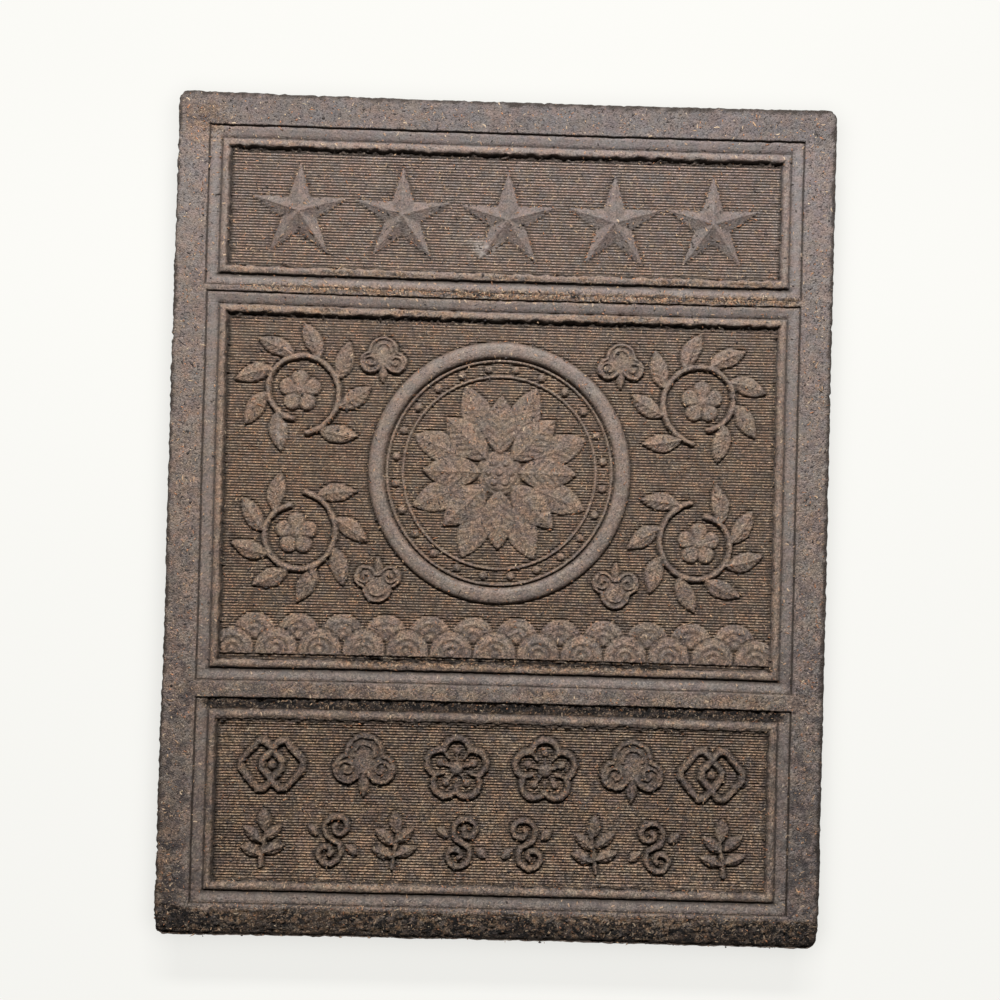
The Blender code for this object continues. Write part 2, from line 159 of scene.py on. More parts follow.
def scuffs(x, y):
    """Two pale rubbed spots, on the third star and on the left scroll."""
    a = np.exp(-(((x - 86.5) / 5.0) ** 2 + ((y - 196.5) / 3.0) ** 2))
    b = np.exp(-(((x - 31.5) / 2.0) ** 2 + ((y - 142.5) / 3.0) ** 2))
    return np.clip((a + b) * smoothstep(-0.15, 0.5, N2(x, y, 0.9) * 0.7 + N4(x, y, 1.9) * 0.5 + 0.1), 0, 1)


def grain(x, y, amount):
    """Tea grains: bumps of 0.4 to 1 mm and a few pits. amount is how loose they are."""
    g = 0.06 * N1(x, y, 0.45) + 0.06 * N2(x, y, 0.85) + 0.03 * N3(x, y, 2.4)
    pits = np.minimum(0, 0.56 - np.abs(N4(x, y, 0.95)) - 0.24 * amount)
    return g * (0.40 + 2.2 * amount) + pits * amount * 1.5


# ------------------------------------------------------------------- plates
def prof(t, p=2.6, q=0.62):
    return np.clip(1 - np.clip(t, 0, 1) ** p, 0, 1) ** q


class Plate:
    """A panel floor as a fine height grid. Rows are a quarter of a rib apart."""

    def __init__(self, x0, x1, y0, y1, dx, block):
        self.dx, self.dy, self.block = dx, PITCH / 4, block
        nb = int(math.ceil((x1 - x0) / (dx * block)))
        ny = int(math.ceil((y1 - y0) / self.dy)) + 1
        self.crumb = 1.0
        self.x = x0 + dx * np.arange(nb * block + 1)
        self.y = y0 + self.dy * np.arange(ny)
        self.X, self.Y = np.meshgrid(self.x, self.y)
        z = lambda: np.zeros(self.X.shape)
        self.h, self.cov, self.smooth, self.trench, self.shade = z(), z(), z(), z(), z()

    def win(self, xa, xb, ya, yb):
        i = np.clip(np.searchsorted(self.x, (xa, xb)), 0, len(self.x))
        j = np.clip(np.searchsorted(self.y, (ya, yb)), 0, len(self.y))
        if i[1] <= i[0] or j[1] <= j[0]:
            return None
        return slice(j[0], j[1]), slice(i[0], i[1])

    def lay(self, s, height, inside, smooth, outside=None):
        """Raises the window s to height where inside is above zero. outside is the distance from the shape, for a narrow ditch around it."""
        self.h[s] = np.maximum(self.h[s], height)
        self.cov[s] = np.maximum(self.cov[s], inside)
        self.smooth[s] = np.where(inside > 0.5, smooth, self.smooth[s])
        if outside is not None:
            self.trench[s] = np.maximum(self.trench[s], np.exp(-((outside - 0.25) / 0.34) ** 2) * (outside > 0))

    def line_distance(self, s, pts, closed=False):
        X, Y = self.X[s], self.Y[s]
        D = np.full(X.shape, 1e3)
        n = len(pts)
        for k in range(n if closed else n - 1):
            (ax, ay), (bx, by) = pts[k], pts[(k + 1) % n]
            vx, vy = bx - ax, by - ay
            q = vx * vx + vy * vy + 1e-12
            t = np.clip(((X - ax) * vx + (Y - ay) * vy) / q, 0, 1)
            D = np.minimum(D, np.hypot(X - ax - t * vx, Y - ay - t * vy))
        return D

    def stroke(self, pts, width, height, closed=False, smooth=0.45, ditch=True, p=2.6, ends=0.0):
        half = width / 2
        xs, ys = [a for a, _ in pts], [b for _, b in pts]
        m = half + 1.2
        s = self.win(min(xs) - m, max(xs) + m, min(ys) - m, max(ys) + m)
        if s is None:
            return
        D = self.line_distance(s, pts, closed)
        D = D + self.crumb * (0.16 * N1(self.X[s], self.Y[s], 0.7) + 0.10 * N2(self.X[s], self.Y[s], 1.9))
        t = D / half
        self.lay(s, height * prof(t, p), smoothstep(1.12, 0.9, t), smooth / self.crumb ** 2, (D - half) if ditch else None)

    def boss(self, outline, height, edge=1.0, smooth=0.4, ditch=True, lines=None):
        xs, ys = [a for a, _ in outline], [b for _, b in outline]
        s = self.win(min(xs) - 1.2, max(xs) + 1.2, min(ys) - 1.2, max(ys) + 1.2)
        if s is None:
            return
        X, Y = self.X[s], self.Y[s]
        D = self.line_distance(s, outline, True)
        odd = np.zeros(X.shape, bool)
        n = len(outline)
        for k in range(n):
            (ax, ay), (bx, by) = outline[k], outline[(k + 1) % n]
            if ay != by:
                odd ^= ((ay > Y) != (by > Y)) & (X < (bx - ax) * (Y - ay) / (by - ay) + ax)
        sd = np.where(odd, D, -D) + 0.08 * N1(X, Y, 0.7)
        h = height * prof(1 - np.clip(sd / edge, 0, 1), 2.0, 0.6)
        if lines is not None:
            h = h - lines(X, Y) * (sd > 0.5)
        self.lay(s, np.where(sd > 0, h, 0), smoothstep(-0.12, 0.12, sd), smooth, np.where(sd < 0, -sd, -1) if ditch else None)

    def dot(self, x, y, r, height, smooth=0.4, ditch=True):
        s = self.win(x - r - 1, x + r + 1, y - r - 1, y + r + 1)
        if s is None:
            return
        D = np.hypot(self.X[s] - x, self.Y[s] - y) + 0.06 * N1(self.X[s], self.Y[s], 0.7)
        t = D / r
        self.lay(s, height * prof(t, 2.0, 0.6), smoothstep(1.12, 0.9, t), smooth, (D - r) if ditch else None)

    def leaf(self, x, y, angle, length, width, height, bend=0.0, blunt=1.0, veins=6, rim=0.5, smooth=0.35, cup=0.0):
        """A leaf or petal with a raised middle rib and side veins."""
        m = length + width
        s = self.win(x - m, x + m, y - m, y + m)
        if s is None:
            return
        X, Y = self.X[s] - x, self.Y[s] - y
        ca, sa = math.cos(angle), math.sin(angle)
        u = (ca * X + sa * Y) / length
        v = -sa * X + ca * Y
        v = v - bend * length * u * u
        uc = np.clip(u, 0, 1)
        half = 0.5 * width * np.sin(np.pi * uc ** blunt) ** 0.8
        v = v + 0.12 * N1(self.X[s], self.Y[s], 0.8) + 0.10 * N2(self.X[s], self.Y[s], 2.2)
        ok = (u > 0) & (u < 1)
        r = np.abs(v) / np.maximum(half, 1e-3)
        sd = np.where(ok, half - np.abs(v), -1.0) * 0.85
        body = rim + (1 - rim) * np.clip(1 - r, 0, 1) ** 0.8
        edge = prof(1 - np.clip(sd / 0.55, 0, 1), 2.0, 0.6)
        h = height * body * edge * (0.85 + 0.15 * np.sin(np.pi * uc))
        h = h + 0.16 * np.exp(-((v / 0.26) ** 2)) * ok * smoothstep(0.98, 0.7, uc)
        if veins:
            ph = (uc * length - 0.75 * np.abs(v)) / (length / veins)
            h = h - 0.17 * height * (0.5 + 0.5 * np.cos(2 * np.pi * ph)) ** 2 * smoothstep(0.05, 0.3, r) * smoothstep(1.0, 0.75, r)
        if cup:
            h = h + cup * smoothstep(0.55, 0.95, r) * edge
        inside = ok & (np.abs(v) < half)
        near = np.where(inside, -1, np.where((u > -0.04) & (u < 1.04), np.abs(v) - half, 9))
        self.lay(s, np.where(inside, h, 0), inside * smoothstep(-0.02, 0.12, sd), smooth, near)

    def star(self, x, y):
        R = STAR_R * 1.03
        s = self.win(x - R, x + R, y - R, y + R)
        X, Y = self.X[s] - x, self.Y[s] - y
        r, a = np.hypot(X, Y), np.degrees(np.arctan2(Y, X)) - 90
        a = np.abs((a + 36) % 72 - 36)                      # 0 at a tip, 36 at a notch
        ar = np.radians(a)
        px, py = r * np.cos(ar), r * np.sin(ar)             # along and across the nearest arm
        n = STAR_R * STAR_INNER
        nx, ny = n * math.cos(math.radians(36)), n * math.sin(math.radians(36))
        b = py / ny
        c = (px - b * nx) / STAR_R
        h = STAR_RISE * (1 - b - c)
        h = h + 0.08 * np.exp(-((py / 0.30) ** 2)) * (h > 0.08) * smoothstep(0.9, 0.6, r / STAR_R)
        fade = smoothstep(0.0, 0.12, h)
        self.lay(s, np.maximum(h, 0) + 0.20 * fade, fade, 0.70)
        self.shade[s] = np.maximum(self.shade[s], 0.17 * fade)

    # -- the finished surface
    def finish(self, rib_height, dull=None):
        X, Y = self.X, self.Y
        loose = crumbly(X, Y)
        phase = Y / PITCH + 0.05 * N3(X, Y, 9.0)
        c = -np.cos(2 * np.pi * phase)
        rib = c + 0.45 * (1 - c * c)
        worn = 0.84 + 0.22 * N2(X, Y, 2.3, 2.0) + 0.14 * N4(X, Y, 0.9)
        ribs = rib_height * rib * np.clip(worn, 0.3, 1.15)
        bare = 1 - self.cov
        d = np.full(X.shape, 99.0)
        for x0, y0, x1, y1 in PANELS.values():
            q = np.minimum(np.minimum(X - x0, x1 - X), np.minimum(Y - y0, y1 - Y))
            d = np.where(q > 0, q, d)
        foot = smoothstep(7.6, 6.5, d)                       # ragged crumbs along the foot of the bead
        rough = 0.12 + 0.5 * loose + 0.55 * foot + 0.45 * (self.crumb - 1) * self.cov
        clump = np.clip(N1(X, Y, 0.9) + 0.6 * N4(X, Y, 0.5) - 0.10, 0, 1) * 0.95 * foot
        top = self.h + bare * ribs * (1 - 0.7 * foot) + clump - self.trench * bare * 0.42
        under = np.full(X.shape, 99.0)
        for x0, y0, x1, y1 in PANELS.values():
            under = np.where((Y < y1) & (Y > y1 - 9), y1 - Y, under)
        top = top + np.where(Y < 80, 0.75, 0.0) * smoothstep(8.6, 6.4, under)      # a low fillet of tea under the lower panel's top bead
        jit = np.random.default_rng(7).uniform(-1, 1, X.shape)
        flat = 1 - 0.65 * self.smooth * self.cov
        beside = np.full(X.shape, 99.0)
        for x0, y0, x1, y1 in PANELS.values():
            beside = np.where((Y < y1 - 6) & (Y > y0 + 6), X - x0, beside)
        self.ragged = under < 7.3
        wob = 0.40 * N1(X, Y, 0.9) + 0.30 * N4(X, Y, 0.5)
        self.z = T + FLOOR + top + grain(X, Y, rough) * (0.7 + 0.3 * bare) * flat + 0.030 * jit * bare
        self.loose = np.clip(loose + 0.25 * bare, 0, 1) * flat
        # painted shade: dark rib valleys, hollows round the ornaments, the foot of the frame's bead, a ragged shadow
        # under each head bead (weaker in the lower panel) and another beside the left bead
        hollow = np.clip((blur(self.h - 0.3 * self.trench * bare, 4) - self.h) / 0.44, 0, 1)
        self.groove_shade = np.clip(bare * smoothstep(np.where((Y > 68) & (Y < 182), 0.85, 0.62), np.where((Y > 68) & (Y < 182), -0.05, -0.40), rib) + hollow * 0.9 + 0.60 * smoothstep(6.9, 6.4, d) + np.where(Y < 80, 0.30, 0.95) * smoothstep(7.35, 6.65, under + wob) + 0.60 * smoothstep(7.25, 6.55, beside + wob), 0, 1)
        self.smooth = self.smooth * self.cov
        self.warm = np.clip(0.95 * bare + 0.80 * self.cov - 0.25 * self.smooth, 0, 1)


# ------------------------------------------------------------ plan outlines
def lobes(cx, cy, circles, steps, turn=0.0, scale=1.0):
    pts = []
    for k in range(steps):
        a = 2 * math.pi * (k + 0.5) / steps
        ux, uy = math.cos(a), math.sin(a)
        best = 0.4
        for x, y, r in circles:
            along, off = ux * x + uy * y, abs(ux * y - uy * x)
            if off < r:
                best = max(best, along + math.sqrt(r * r - off * off))
        pts.append((cx + scale * best * math.cos(a + turn), cy + scale * best * math.sin(a + turn)))
    return pts


def spiral(cx, cy, r0, r1, a0, turns, steps):
    pts = []
    for k in range(steps + 1):
        t = k / steps
        a, r = math.radians(a0) + 2 * math.pi * turns * t, r0 + (r1 - r0) * t
        pts.append((cx + r * math.cos(a), cy + r * math.sin(a)))
    return pts


RUYI = ((-4.3, -1.2, 3.3), (4.3, -1.2, 3.3), (0.0, 2.6, 4.6))
BLOSSOM = tuple((4.5 * math.sin(2 * math.pi * k / 5), 4.5 * math.cos(2 * math.pi * k / 5), 3.35) for k in range(5))


class Grown:
    """Passes shapes on to a plate, enlarged about a point."""

    def __init__(self, plate, cx, cy, s):
        self.p, self.cx, self.cy, self.s = plate, cx, cy, s

    def at(self, x, y):
        return self.cx + (x - self.cx) * self.s, self.cy + (y - self.cy) * self.s

    def stroke(self, pts, width, *a, **k):
        self.p.stroke([self.at(*q) for q in pts], width * self.s, *a, **k)

    def boss(self, outline, *a, **k):
        self.p.boss([self.at(*q) for q in outline], *a, **k)

    def dot(self, x, y, r, *a, **k):
        self.p.dot(*self.at(x, y), r * self.s, *a, **k)

    def leaf(self, x, y, angle, length, width, *a, **k):
        self.p.leaf(*self.at(x, y), angle, length * self.s, width * self.s, *a, **k)


# ------------------------------------------------------------------- motifs
def ruyi_cloud(p, x, y, s=1.0, flip=1):
    outline = lobes(x, y, [(a, b * flip, r) for a, b, r in RUYI], 72, 0.0, s)
    p.boss(outline, 0.62, 0.9)
    p.stroke(outline, 1.25 * s, 1.25, closed=True)
    for side in (-1, 1):
        if flip < 0:
            a0, turns = (60, -1.15) if side > 0 else (120, 1.15)
        else:
            a0, turns = (-60, 1.15) if side > 0 else (240, -1.15)
        p.stroke(spiral(x + side * 4.3 * s, y - 1.2 * s * flip, 2.7 * s, 0.5 * s, a0, turns, 26), 1.0 * s, 1.35)
    p.stroke([(x + 2.7 * s * math.cos(math.radians(a)), y + flip * s * (2.6 + 2.7 * math.sin(math.radians(a)))) for a in range(-10, 191, 20)], 0.95 * s, 1.2)
    p.leaf(x, y - 1.0 * s * flip, math.radians(-90 * flip), 7.6 * s, 3.0 * s, 1.3, veins=4)


def blossom_motif(p, x, y):
    outline = lobes(x, y, BLOSSOM, 90)
    p.stroke(outline, 1.7, 1.3, closed=True)
    p.dot(x, y, 1.8, 1.25)
    for k in range(5):
        a = math.radians(90 + 72 * k)
        p.stroke([(x + r * math.cos(a), y + r * math.sin(a)) for r in (1.8, 4.0)], 0.75, 0.8)
        p.dot(x + 4.5 * math.cos(a), y + 4.5 * math.sin(a), 1.0, 1.1)
        b = a + math.radians(36)
        p.stroke([(x + r * math.cos(b), y + r * math.sin(b)) for r in (3.3, 5.3)], 0.9, 1.0)


def lozenge_motif(p, x, y):
    h, v = 6.1, 7.1
    for k, dx in enumerate((-2.72, 2.68)):
        corners = ((h, 0.0), (0.0, v), (-h, 0.0), (0.0, -v))
        pts = []
        for i in range(4):
            (ax, ay), (bx, by) = corners[i], corners[(i + 1) % 4]
            for t in (0.14, 0.5, 0.86):
                pts.append((x + dx + ax + (bx - ax) * t, y + ay + (by - ay) * t))
        p.stroke(pts, 1.8, 1.25 + 0.12 * k, closed=True)
    p.dot(x, y, 1.2, 1.1)


def sprig_motif(p, x, y, side):
    stem = [(x + side * 1.6 * math.sin(0.9 - 0.08 * k), y - 6.6 + 0.8 * k) for k in range(13)]
    p.stroke(stem, 1.1, 1.15)
    p.leaf(x + side * 0.2, y + 1.6, math.radians(90 - side * 8), 6.0, 3.4, 1.3, veins=5)
    for dy, a, ln in ((-0.4, 38, 6.2), (-3.4, 20, 6.0)):
        p.leaf(x + side * 1.0, y + dy, math.radians(a), ln, 2.9, 1.25, veins=5)
        p.leaf(x + side * 0.8, y + dy - 0.5, math.radians(180 - a), ln, 2.9, 1.25, veins=5)


def scroll_motif(p, x, y, side):
    up = spiral(x - side * 1.3, y + 3.1, 3.6, 0.7, -40 if side > 0 else 220, 1.2 * side, 28)
    down = spiral(x + side * 1.3, y - 3.1, 3.6, 0.7, 140 if side > 0 else 40, 1.2 * side, 28)
    p.stroke(up[::-1] + down, 1.35, 1.2)
    p.leaf(x + side * 3.4, y + 1.2, math.radians(90 - side * 50), 3.6, 2.4, 1.1, veins=0)
    p.leaf(x - side * 3.4, y - 1.2, math.radians(-90 - side * 50), 3.6, 2.4, 1.1, veins=0)


def circle(cx, cy, r, steps=120):
    return [(cx + r * math.cos(2 * math.pi * k / steps), cy + r * math.sin(2 * math.pi * k / steps)) for k in range(steps)]


def medallion(p, cx, cy):
    m = RING_R + RING_W
    s = p.win(cx - m, cx + m, cy - m, cy + m)
    if s is None:
        return
    X, Y = p.X[s], p.Y[s]
    R = np.hypot(X - cx, Y - cy) + 0.06 * N1(X, Y, 0.7)
    for rad, wid, hgt, sm in ((RING_R, RING_W, 1.45, 0.95), (31.9, 0.8, 0.7, 0.5), (27.4, 0.8, 0.6, 0.5)):
        t = np.abs(R - rad) / (wid / 2)
        p.lay(s, hgt * prof(t, 3.4, 0.55), smoothstep(1.1, 0.92, t), sm, np.abs(R - rad) - wid / 2)
    for k in range(BEADS):
        a = 2 * math.pi * (k + 0.5) / BEADS
        p.dot(cx + BEAD_RING_R * math.cos(a), cy + BEAD_RING_R * math.sin(a), 1.15, 0.95)
    for k in range(8):
        a = math.radians(45 * k + 22.5)
        p.leaf(cx + 10.5 * math.cos(a), cy + 10.5 * math.sin(a), a, 16.0, 8.6, 0.85, blunt=0.9, veins=8)
    for k in range(8):
        a = math.radians(45 * k)
        p.leaf(cx + 5.0 * math.cos(a), cy + 5.0 * math.sin(a), a, 17.0, 9.2, 1.35, blunt=0.9, veins=8)
    p.dot(cx, cy, 6.4, 1.55, smooth=0.5)
    s = p.win(cx - 8, cx + 8, cy - 8, cy + 8)
    R = np.hypot(p.X[s] - cx, p.Y[s] - cy)
    p.h[s] = p.h[s] - 0.30 * np.exp(-(((R - 5.3) / 0.4) ** 2))
    for k in range(7):
        a, r = (0, 0) if k == 6 else (math.pi * k / 3, 3.2)
        s = p.win(cx - 8, cx + 8, cy - 8, cy + 8)
        D = np.hypot(p.X[s] - cx - r * math.cos(a), p.Y[s] - cy - r * math.sin(a))
        p.h[s] = p.h[s] + 0.42 * prof(D / 0.95, 2.0, 0.6) - 0.16 * np.exp(-(((D - 1.15) / 0.25) ** 2))


def flower(p, x, y, r):
    outline = lobes(x, y, BLOSSOM, 70, 0.0, r / 7.6)
    p.boss(outline, 0.95, 1.1)
    for k in range(5):
        a = math.radians(90 + 72 * k)
        s = p.win(x - r, x + r, y - r, y + r)
        if s is None:
            return
        X, Y = p.X[s] - x, p.Y[s] - y
        for da, dep, wid in ((36, 0.45, 0.32), (0, 0.16, 0.25), (14, 0.10, 0.2), (-14, 0.10, 0.2)):
            b = a + math.radians(da)
            along, across = X * math.cos(b) + Y * math.sin(b), -X * math.sin(b) + Y * math.cos(b)
            p.h[s] = p.h[s] - dep * np.exp(-((across / wid) ** 2)) * smoothstep(0.2 * r, 0.4 * r, along) * smoothstep(0.98 * r, 0.8 * r, along) * (p.cov[s] > 0.5)
    p.dot(x, y, 0.27 * r, 1.6)


def flower_scroll(p, side):
    mirror = (lambda px: px) if side < 0 else (lambda px: 2 * MEDALLION[0] - px)
    for k, cy in enumerate(SCROLL_Y):
        spin = 1 if k == 0 else -1
        start = -78 if k == 0 else 78
        for j in range(8):
            t = (j + 0.35) / 8.2
            a = math.radians(start + 360 * 0.93 * spin * t)
            r = SCROLL_R + (8.0 - SCROLL_R) * t
            px, py = SCROLL_X + r * math.cos(a), cy + r * math.sin(a)
            out = a + math.radians(46 * spin)
            if side > 0:
                out = math.pi - out
            p.leaf(mirror(px), py, out, 11.6, 5.4, 1.3, bend=-0.16 * spin * side, veins=7)
        pts = spiral(SCROLL_X, cy, SCROLL_R, 8.0, start, 0.93 * spin, 60)
        p.stroke([(mirror(px), py) for px, py in pts], 1.7, 1.35)
        flower(p, mirror(SCROLL_X), cy, 5.9)


def waves(p):
    for y, z, n, x0 in ((84.6, 0.7, 12, 25.2), (80.2, 1.05, 13, 19.0)):
        for k in range(n):
            x = x0 + 12.4 * k
            s = p.win(x - 7.2, x + 7.2, y - 1.0, y + 7.2)
            if s is None:
                continue
            X, Y = p.X[s] - x, p.Y[s] - y
            R = np.hypot(X, Y) + 0.05 * N1(p.X[s], p.Y[s], 0.7)
            scale = prof(R / 6.0, 6.0, 0.5)
            lines = 0.5 + 0.5 * np.cos(2 * np.pi * (R - 0.3) / 1.95)
            h = z * scale * (0.62 + 0.38 * lines)
            over = R < 6.05
            p.h[s] = np.where(over, h, p.h[s])
            p.cov[s] = np.where(over, 1.0, p.cov[s])
            p.smooth[s] = np.where(over, 0.45, p.smooth[s])
            p.trench[s] = np.maximum(p.trench[s], np.exp(-(((R - 6.3) / 0.3) ** 2)) * (R > 6))
            p.h[s] = p.h[s] - 0.35 * np.exp(-(((R - 6.35) / 0.28) ** 2)) * (R > 6.05) * (p.cov[s] > 0.5)


# --------------------------------------------------------------- mesh making
def new_mesh(name, co, groups, attrs):
    """co: points in metres. groups: (faces as an index array or a list of index lists, UVs per corner)."""
    me = bpy.data.meshes.new(name)
    flat, starts, uvs, at = [], [], [], 0
    for faces, uv in groups:
        if isinstance(faces, np.ndarray):
            if not len(faces):
                continue
            k = faces.shape[1]
            flat.append(faces.reshape(-1))
            starts.append(at + k * np.arange(len(faces)))
            at += faces.size
            uvs.append(uv.reshape(-1, 2))
        else:
            for f, u in zip(faces, uv):
                flat.append(np.array(f))
                starts.append(np.array([at]))
                at += len(f)
                uvs.append(np.array(u, float).reshape(-1, 2))
    flat, starts, uvs = np.concatenate(flat), np.concatenate(starts), np.concatenate(uvs)
    me.vertices.add(len(co))
    me.vertices.foreach_set("co", np.ascontiguousarray(co, np.float32).ravel())
    me.loops.add(len(flat))
    me.loops.foreach_set("vertex_index", flat.astype(np.int32))
    me.polygons.add(len(starts))
    me.polygons.foreach_set("loop_start", starts.astype(np.int32))
    me.update(calc_edges=True)
    layer = me.uv_layers.new(name="OFBake")
    layer.data.foreach_set("uv", uvs.astype(np.float32).ravel())
    for key, val in attrs.items():
        a = me.attributes.new(key, "FLOAT", "POINT")
        a.data.foreach_set("value", np.ascontiguousarray(val, np.float32).ravel())
    me.validate()
    me.shade_smooth()
    ob = bpy.data.objects.new(name, me)
    bpy.context.scene.collection.objects.link(ob)
    return ob


def plate_object(p, name, bottom):
    """Meshes a plate: cells a quarter rib high, four to a block where nothing but ribs crosses it."""
    ny, nx = p.X.shape
    b = p.block
    nb = (nx - 1) // b
    need = (p.cov > 0.02) | (p.trench > 0.30) | p.ragged
    cell = need[:-1] | need[1:]
    fine = np.zeros((ny - 1, nb), bool)
    for k in range(b + 1):
        fine |= cell[:, k:(nb - 1) * b + k + 1:b]
    for _ in range(3):                                       # a coarse cell between two fine ones is fine too
        up, dn = np.zeros_like(fine), np.zeros_like(fine)
        up[:-1], dn[1:] = fine[1:], fine[:-1]
        fine |= up & dn
    used = np.zeros((ny, nx), bool)
    used[:, ::b] = True
    for k in range(1, b):
        used[:-1, k::b] |= fine
        used[1:, k::b] |= fine
    idx = np.full((ny, nx), -1, np.int64)
    idx[used] = np.arange(used.sum())
    n_top = int(used.sum())
    quads, tris = [], []
    jj, ii = np.nonzero(fine)
    for k in range(b):
        c = ii * b + k
        quads.append(np.stack([idx[jj, c], idx[jj, c + 1], idx[jj + 1, c + 1], idx[jj + 1, c]], 1))
    below, above = np.zeros_like(fine), np.zeros_like(fine)
    below[1:], above[:-1] = fine[:-1], fine[1:]
    jj, ii = np.nonzero(~fine & ~below & ~above)
    c = ii * b
    quads.append(np.stack([idx[jj, c], idx[jj, c + b], idx[jj + 1, c + b], idx[jj + 1, c]], 1))
    half = b // 2
    jj, ii = np.nonzero(~fine & below)
    c = ii * b
    for k in range(b):                                       # fan from the plain upper side
        apex = idx[jj + 1, c] if k < half else idx[jj + 1, c + b]
        tris.append(np.stack([idx[jj, c + k], idx[jj, c + k + 1], apex], 1))
    tris.append(np.stack([idx[jj, c + half], idx[jj + 1, c + b], idx[jj + 1, c]], 1))
    jj, ii = np.nonzero(~fine & above)
    c = ii * b
    for k in range(b):                                       # fan from the plain lower side
        apex = idx[jj, c] if k < half else idx[jj, c + b]
        tris.append(np.stack([idx[jj + 1, c + k + 1], idx[jj + 1, c + k], apex], 1))
    tris.append(np.stack([idx[jj + 1, c + half], idx[jj, c], idx[jj, c + b]], 1))
    quads, tris = np.concatenate(quads), np.concatenate(tris)
    # skirt and underside
    rim = [idx[0, i] for i in range(nx) if used[0, i]]
    rim += [idx[j, nx - 1] for j in range(1, ny)]
    rim += [idx[ny - 1, i] for i in range(nx - 2, -1, -1) if used[ny - 1, i]]
    rim += [idx[j, 0] for j in range(ny - 2, 0, -1)]
    rim = np.array(rim)
    x, y, z = p.X[used], p.Y[used], p.z[used]
    m = len(rim)
    co = put(np.concatenate([x, x[rim]]), np.concatenate([y, y[rim]]), np.concatenate([z, np.full(m, bottom)]))
    low = n_top + np.arange(m)
    nxt = np.roll(np.arange(m), -1)
    skirt = np.stack([rim, low, low[nxt], rim[nxt]], 1)
    span = max(p.x[-1] - p.x[0], p.y[-1] - p.y[0])
    uv = np.stack([(np.concatenate([x, x[rim]]) - p.x[0]) / span, (np.concatenate([y, y[rim]]) - p.y[0]) / span], 1) * 0.98 + 0.01
    attrs = {}
    for key, f in (("smooth_press", p.smooth), ("loose", p.loose), ("groove_shade", p.groove_shade), ("warm", p.warm), ("dark", np.clip(darkness(p.X, p.Y) + p.shade + 0.07 * p.cov, 0, 1)), ("scuff", scuffs(p.X, p.Y))):
        v = f[used]
        attrs[key] = np.concatenate([v, v[rim]])
    base = low[::-1]
    groups = [(quads, uv[quads]), (tris, uv[tris]), (skirt, uv[skirt]), ([base.tolist()], [uv[base]])]
    return new_mesh(name, co, groups, attrs)


# --------------------------------------------------------------- panel plates
DX = 0.30
BLOCK = 4
OVER = 6.08                          # how far inside its outer rectangle a plate starts, under the bead


def plate(name, x0=None, x1=None):
    a0, y0, a1, y1 = PANELS[name]
    return Plate(a0 + OVER if x0 is None else x0, a1 - OVER if x1 is None else x1, y0 + OVER, y1 - OVER, DX, BLOCK)


def build_plates():
    made = {}
    p = plate("upper")
    for x, y in STARS:
        p.star(x, y)
    p.finish(0.235)
    made["panel_upper"] = p
    for part, x0, x1 in (("left", None, 60.8), ("centre", 60.8, 127.2), ("right", 127.2, None)):
        p = plate("middle", x0, x1)
        waves(p)
        if part == "centre":
            medallion(p, *MEDALLION)
        for side in (-1, 1):
            if (side < 0) == (part != "right") or part == "centre":
                flower_scroll(p, side)
            for y, flip, s in ((163.5, 1, 0.82), (100.5, -1, 0.82)):
                ruyi_cloud(p, MEDALLION[0] + side * 33.8, y, s, flip)
        if part != "centre":
            medallion(p, *MEDALLION)
        p.finish(0.29)
        made["panel_middle_" + part] = p
    p = plate("lower")
    p.crumb = 1.4
    for i, x in enumerate(ROW_1_X):
        kind = min(i, len(ROW_1_X) - 1 - i)
        g = Grown(p, x, ROW_1_Y, ROW_1_SCALE)
        if kind == 0:
            lozenge_motif(g, x, ROW_1_Y)
        elif kind == 1:
            ruyi_cloud(g, x, ROW_1_Y + 0.6)
        else:
            blossom_motif(g, x, ROW_1_Y)
    for i, x in enumerate(ROW_2_X):
        side = -1 if i < len(ROW_2_X) / 2 else 1
        g = Grown(p, x, ROW_2_Y, ROW_2_SCALE)
        if min(i, len(ROW_2_X) - 1 - i) % 2 == 0:
            sprig_motif(g, x, ROW_2_Y, side)
        else:
            scroll_motif(g, x, ROW_2_Y, side)
    p.h *= 1.16
    p.shade += 0.17 * p.cov
    p.finish(0.29)
    made["panel_lower"] = p
    return made


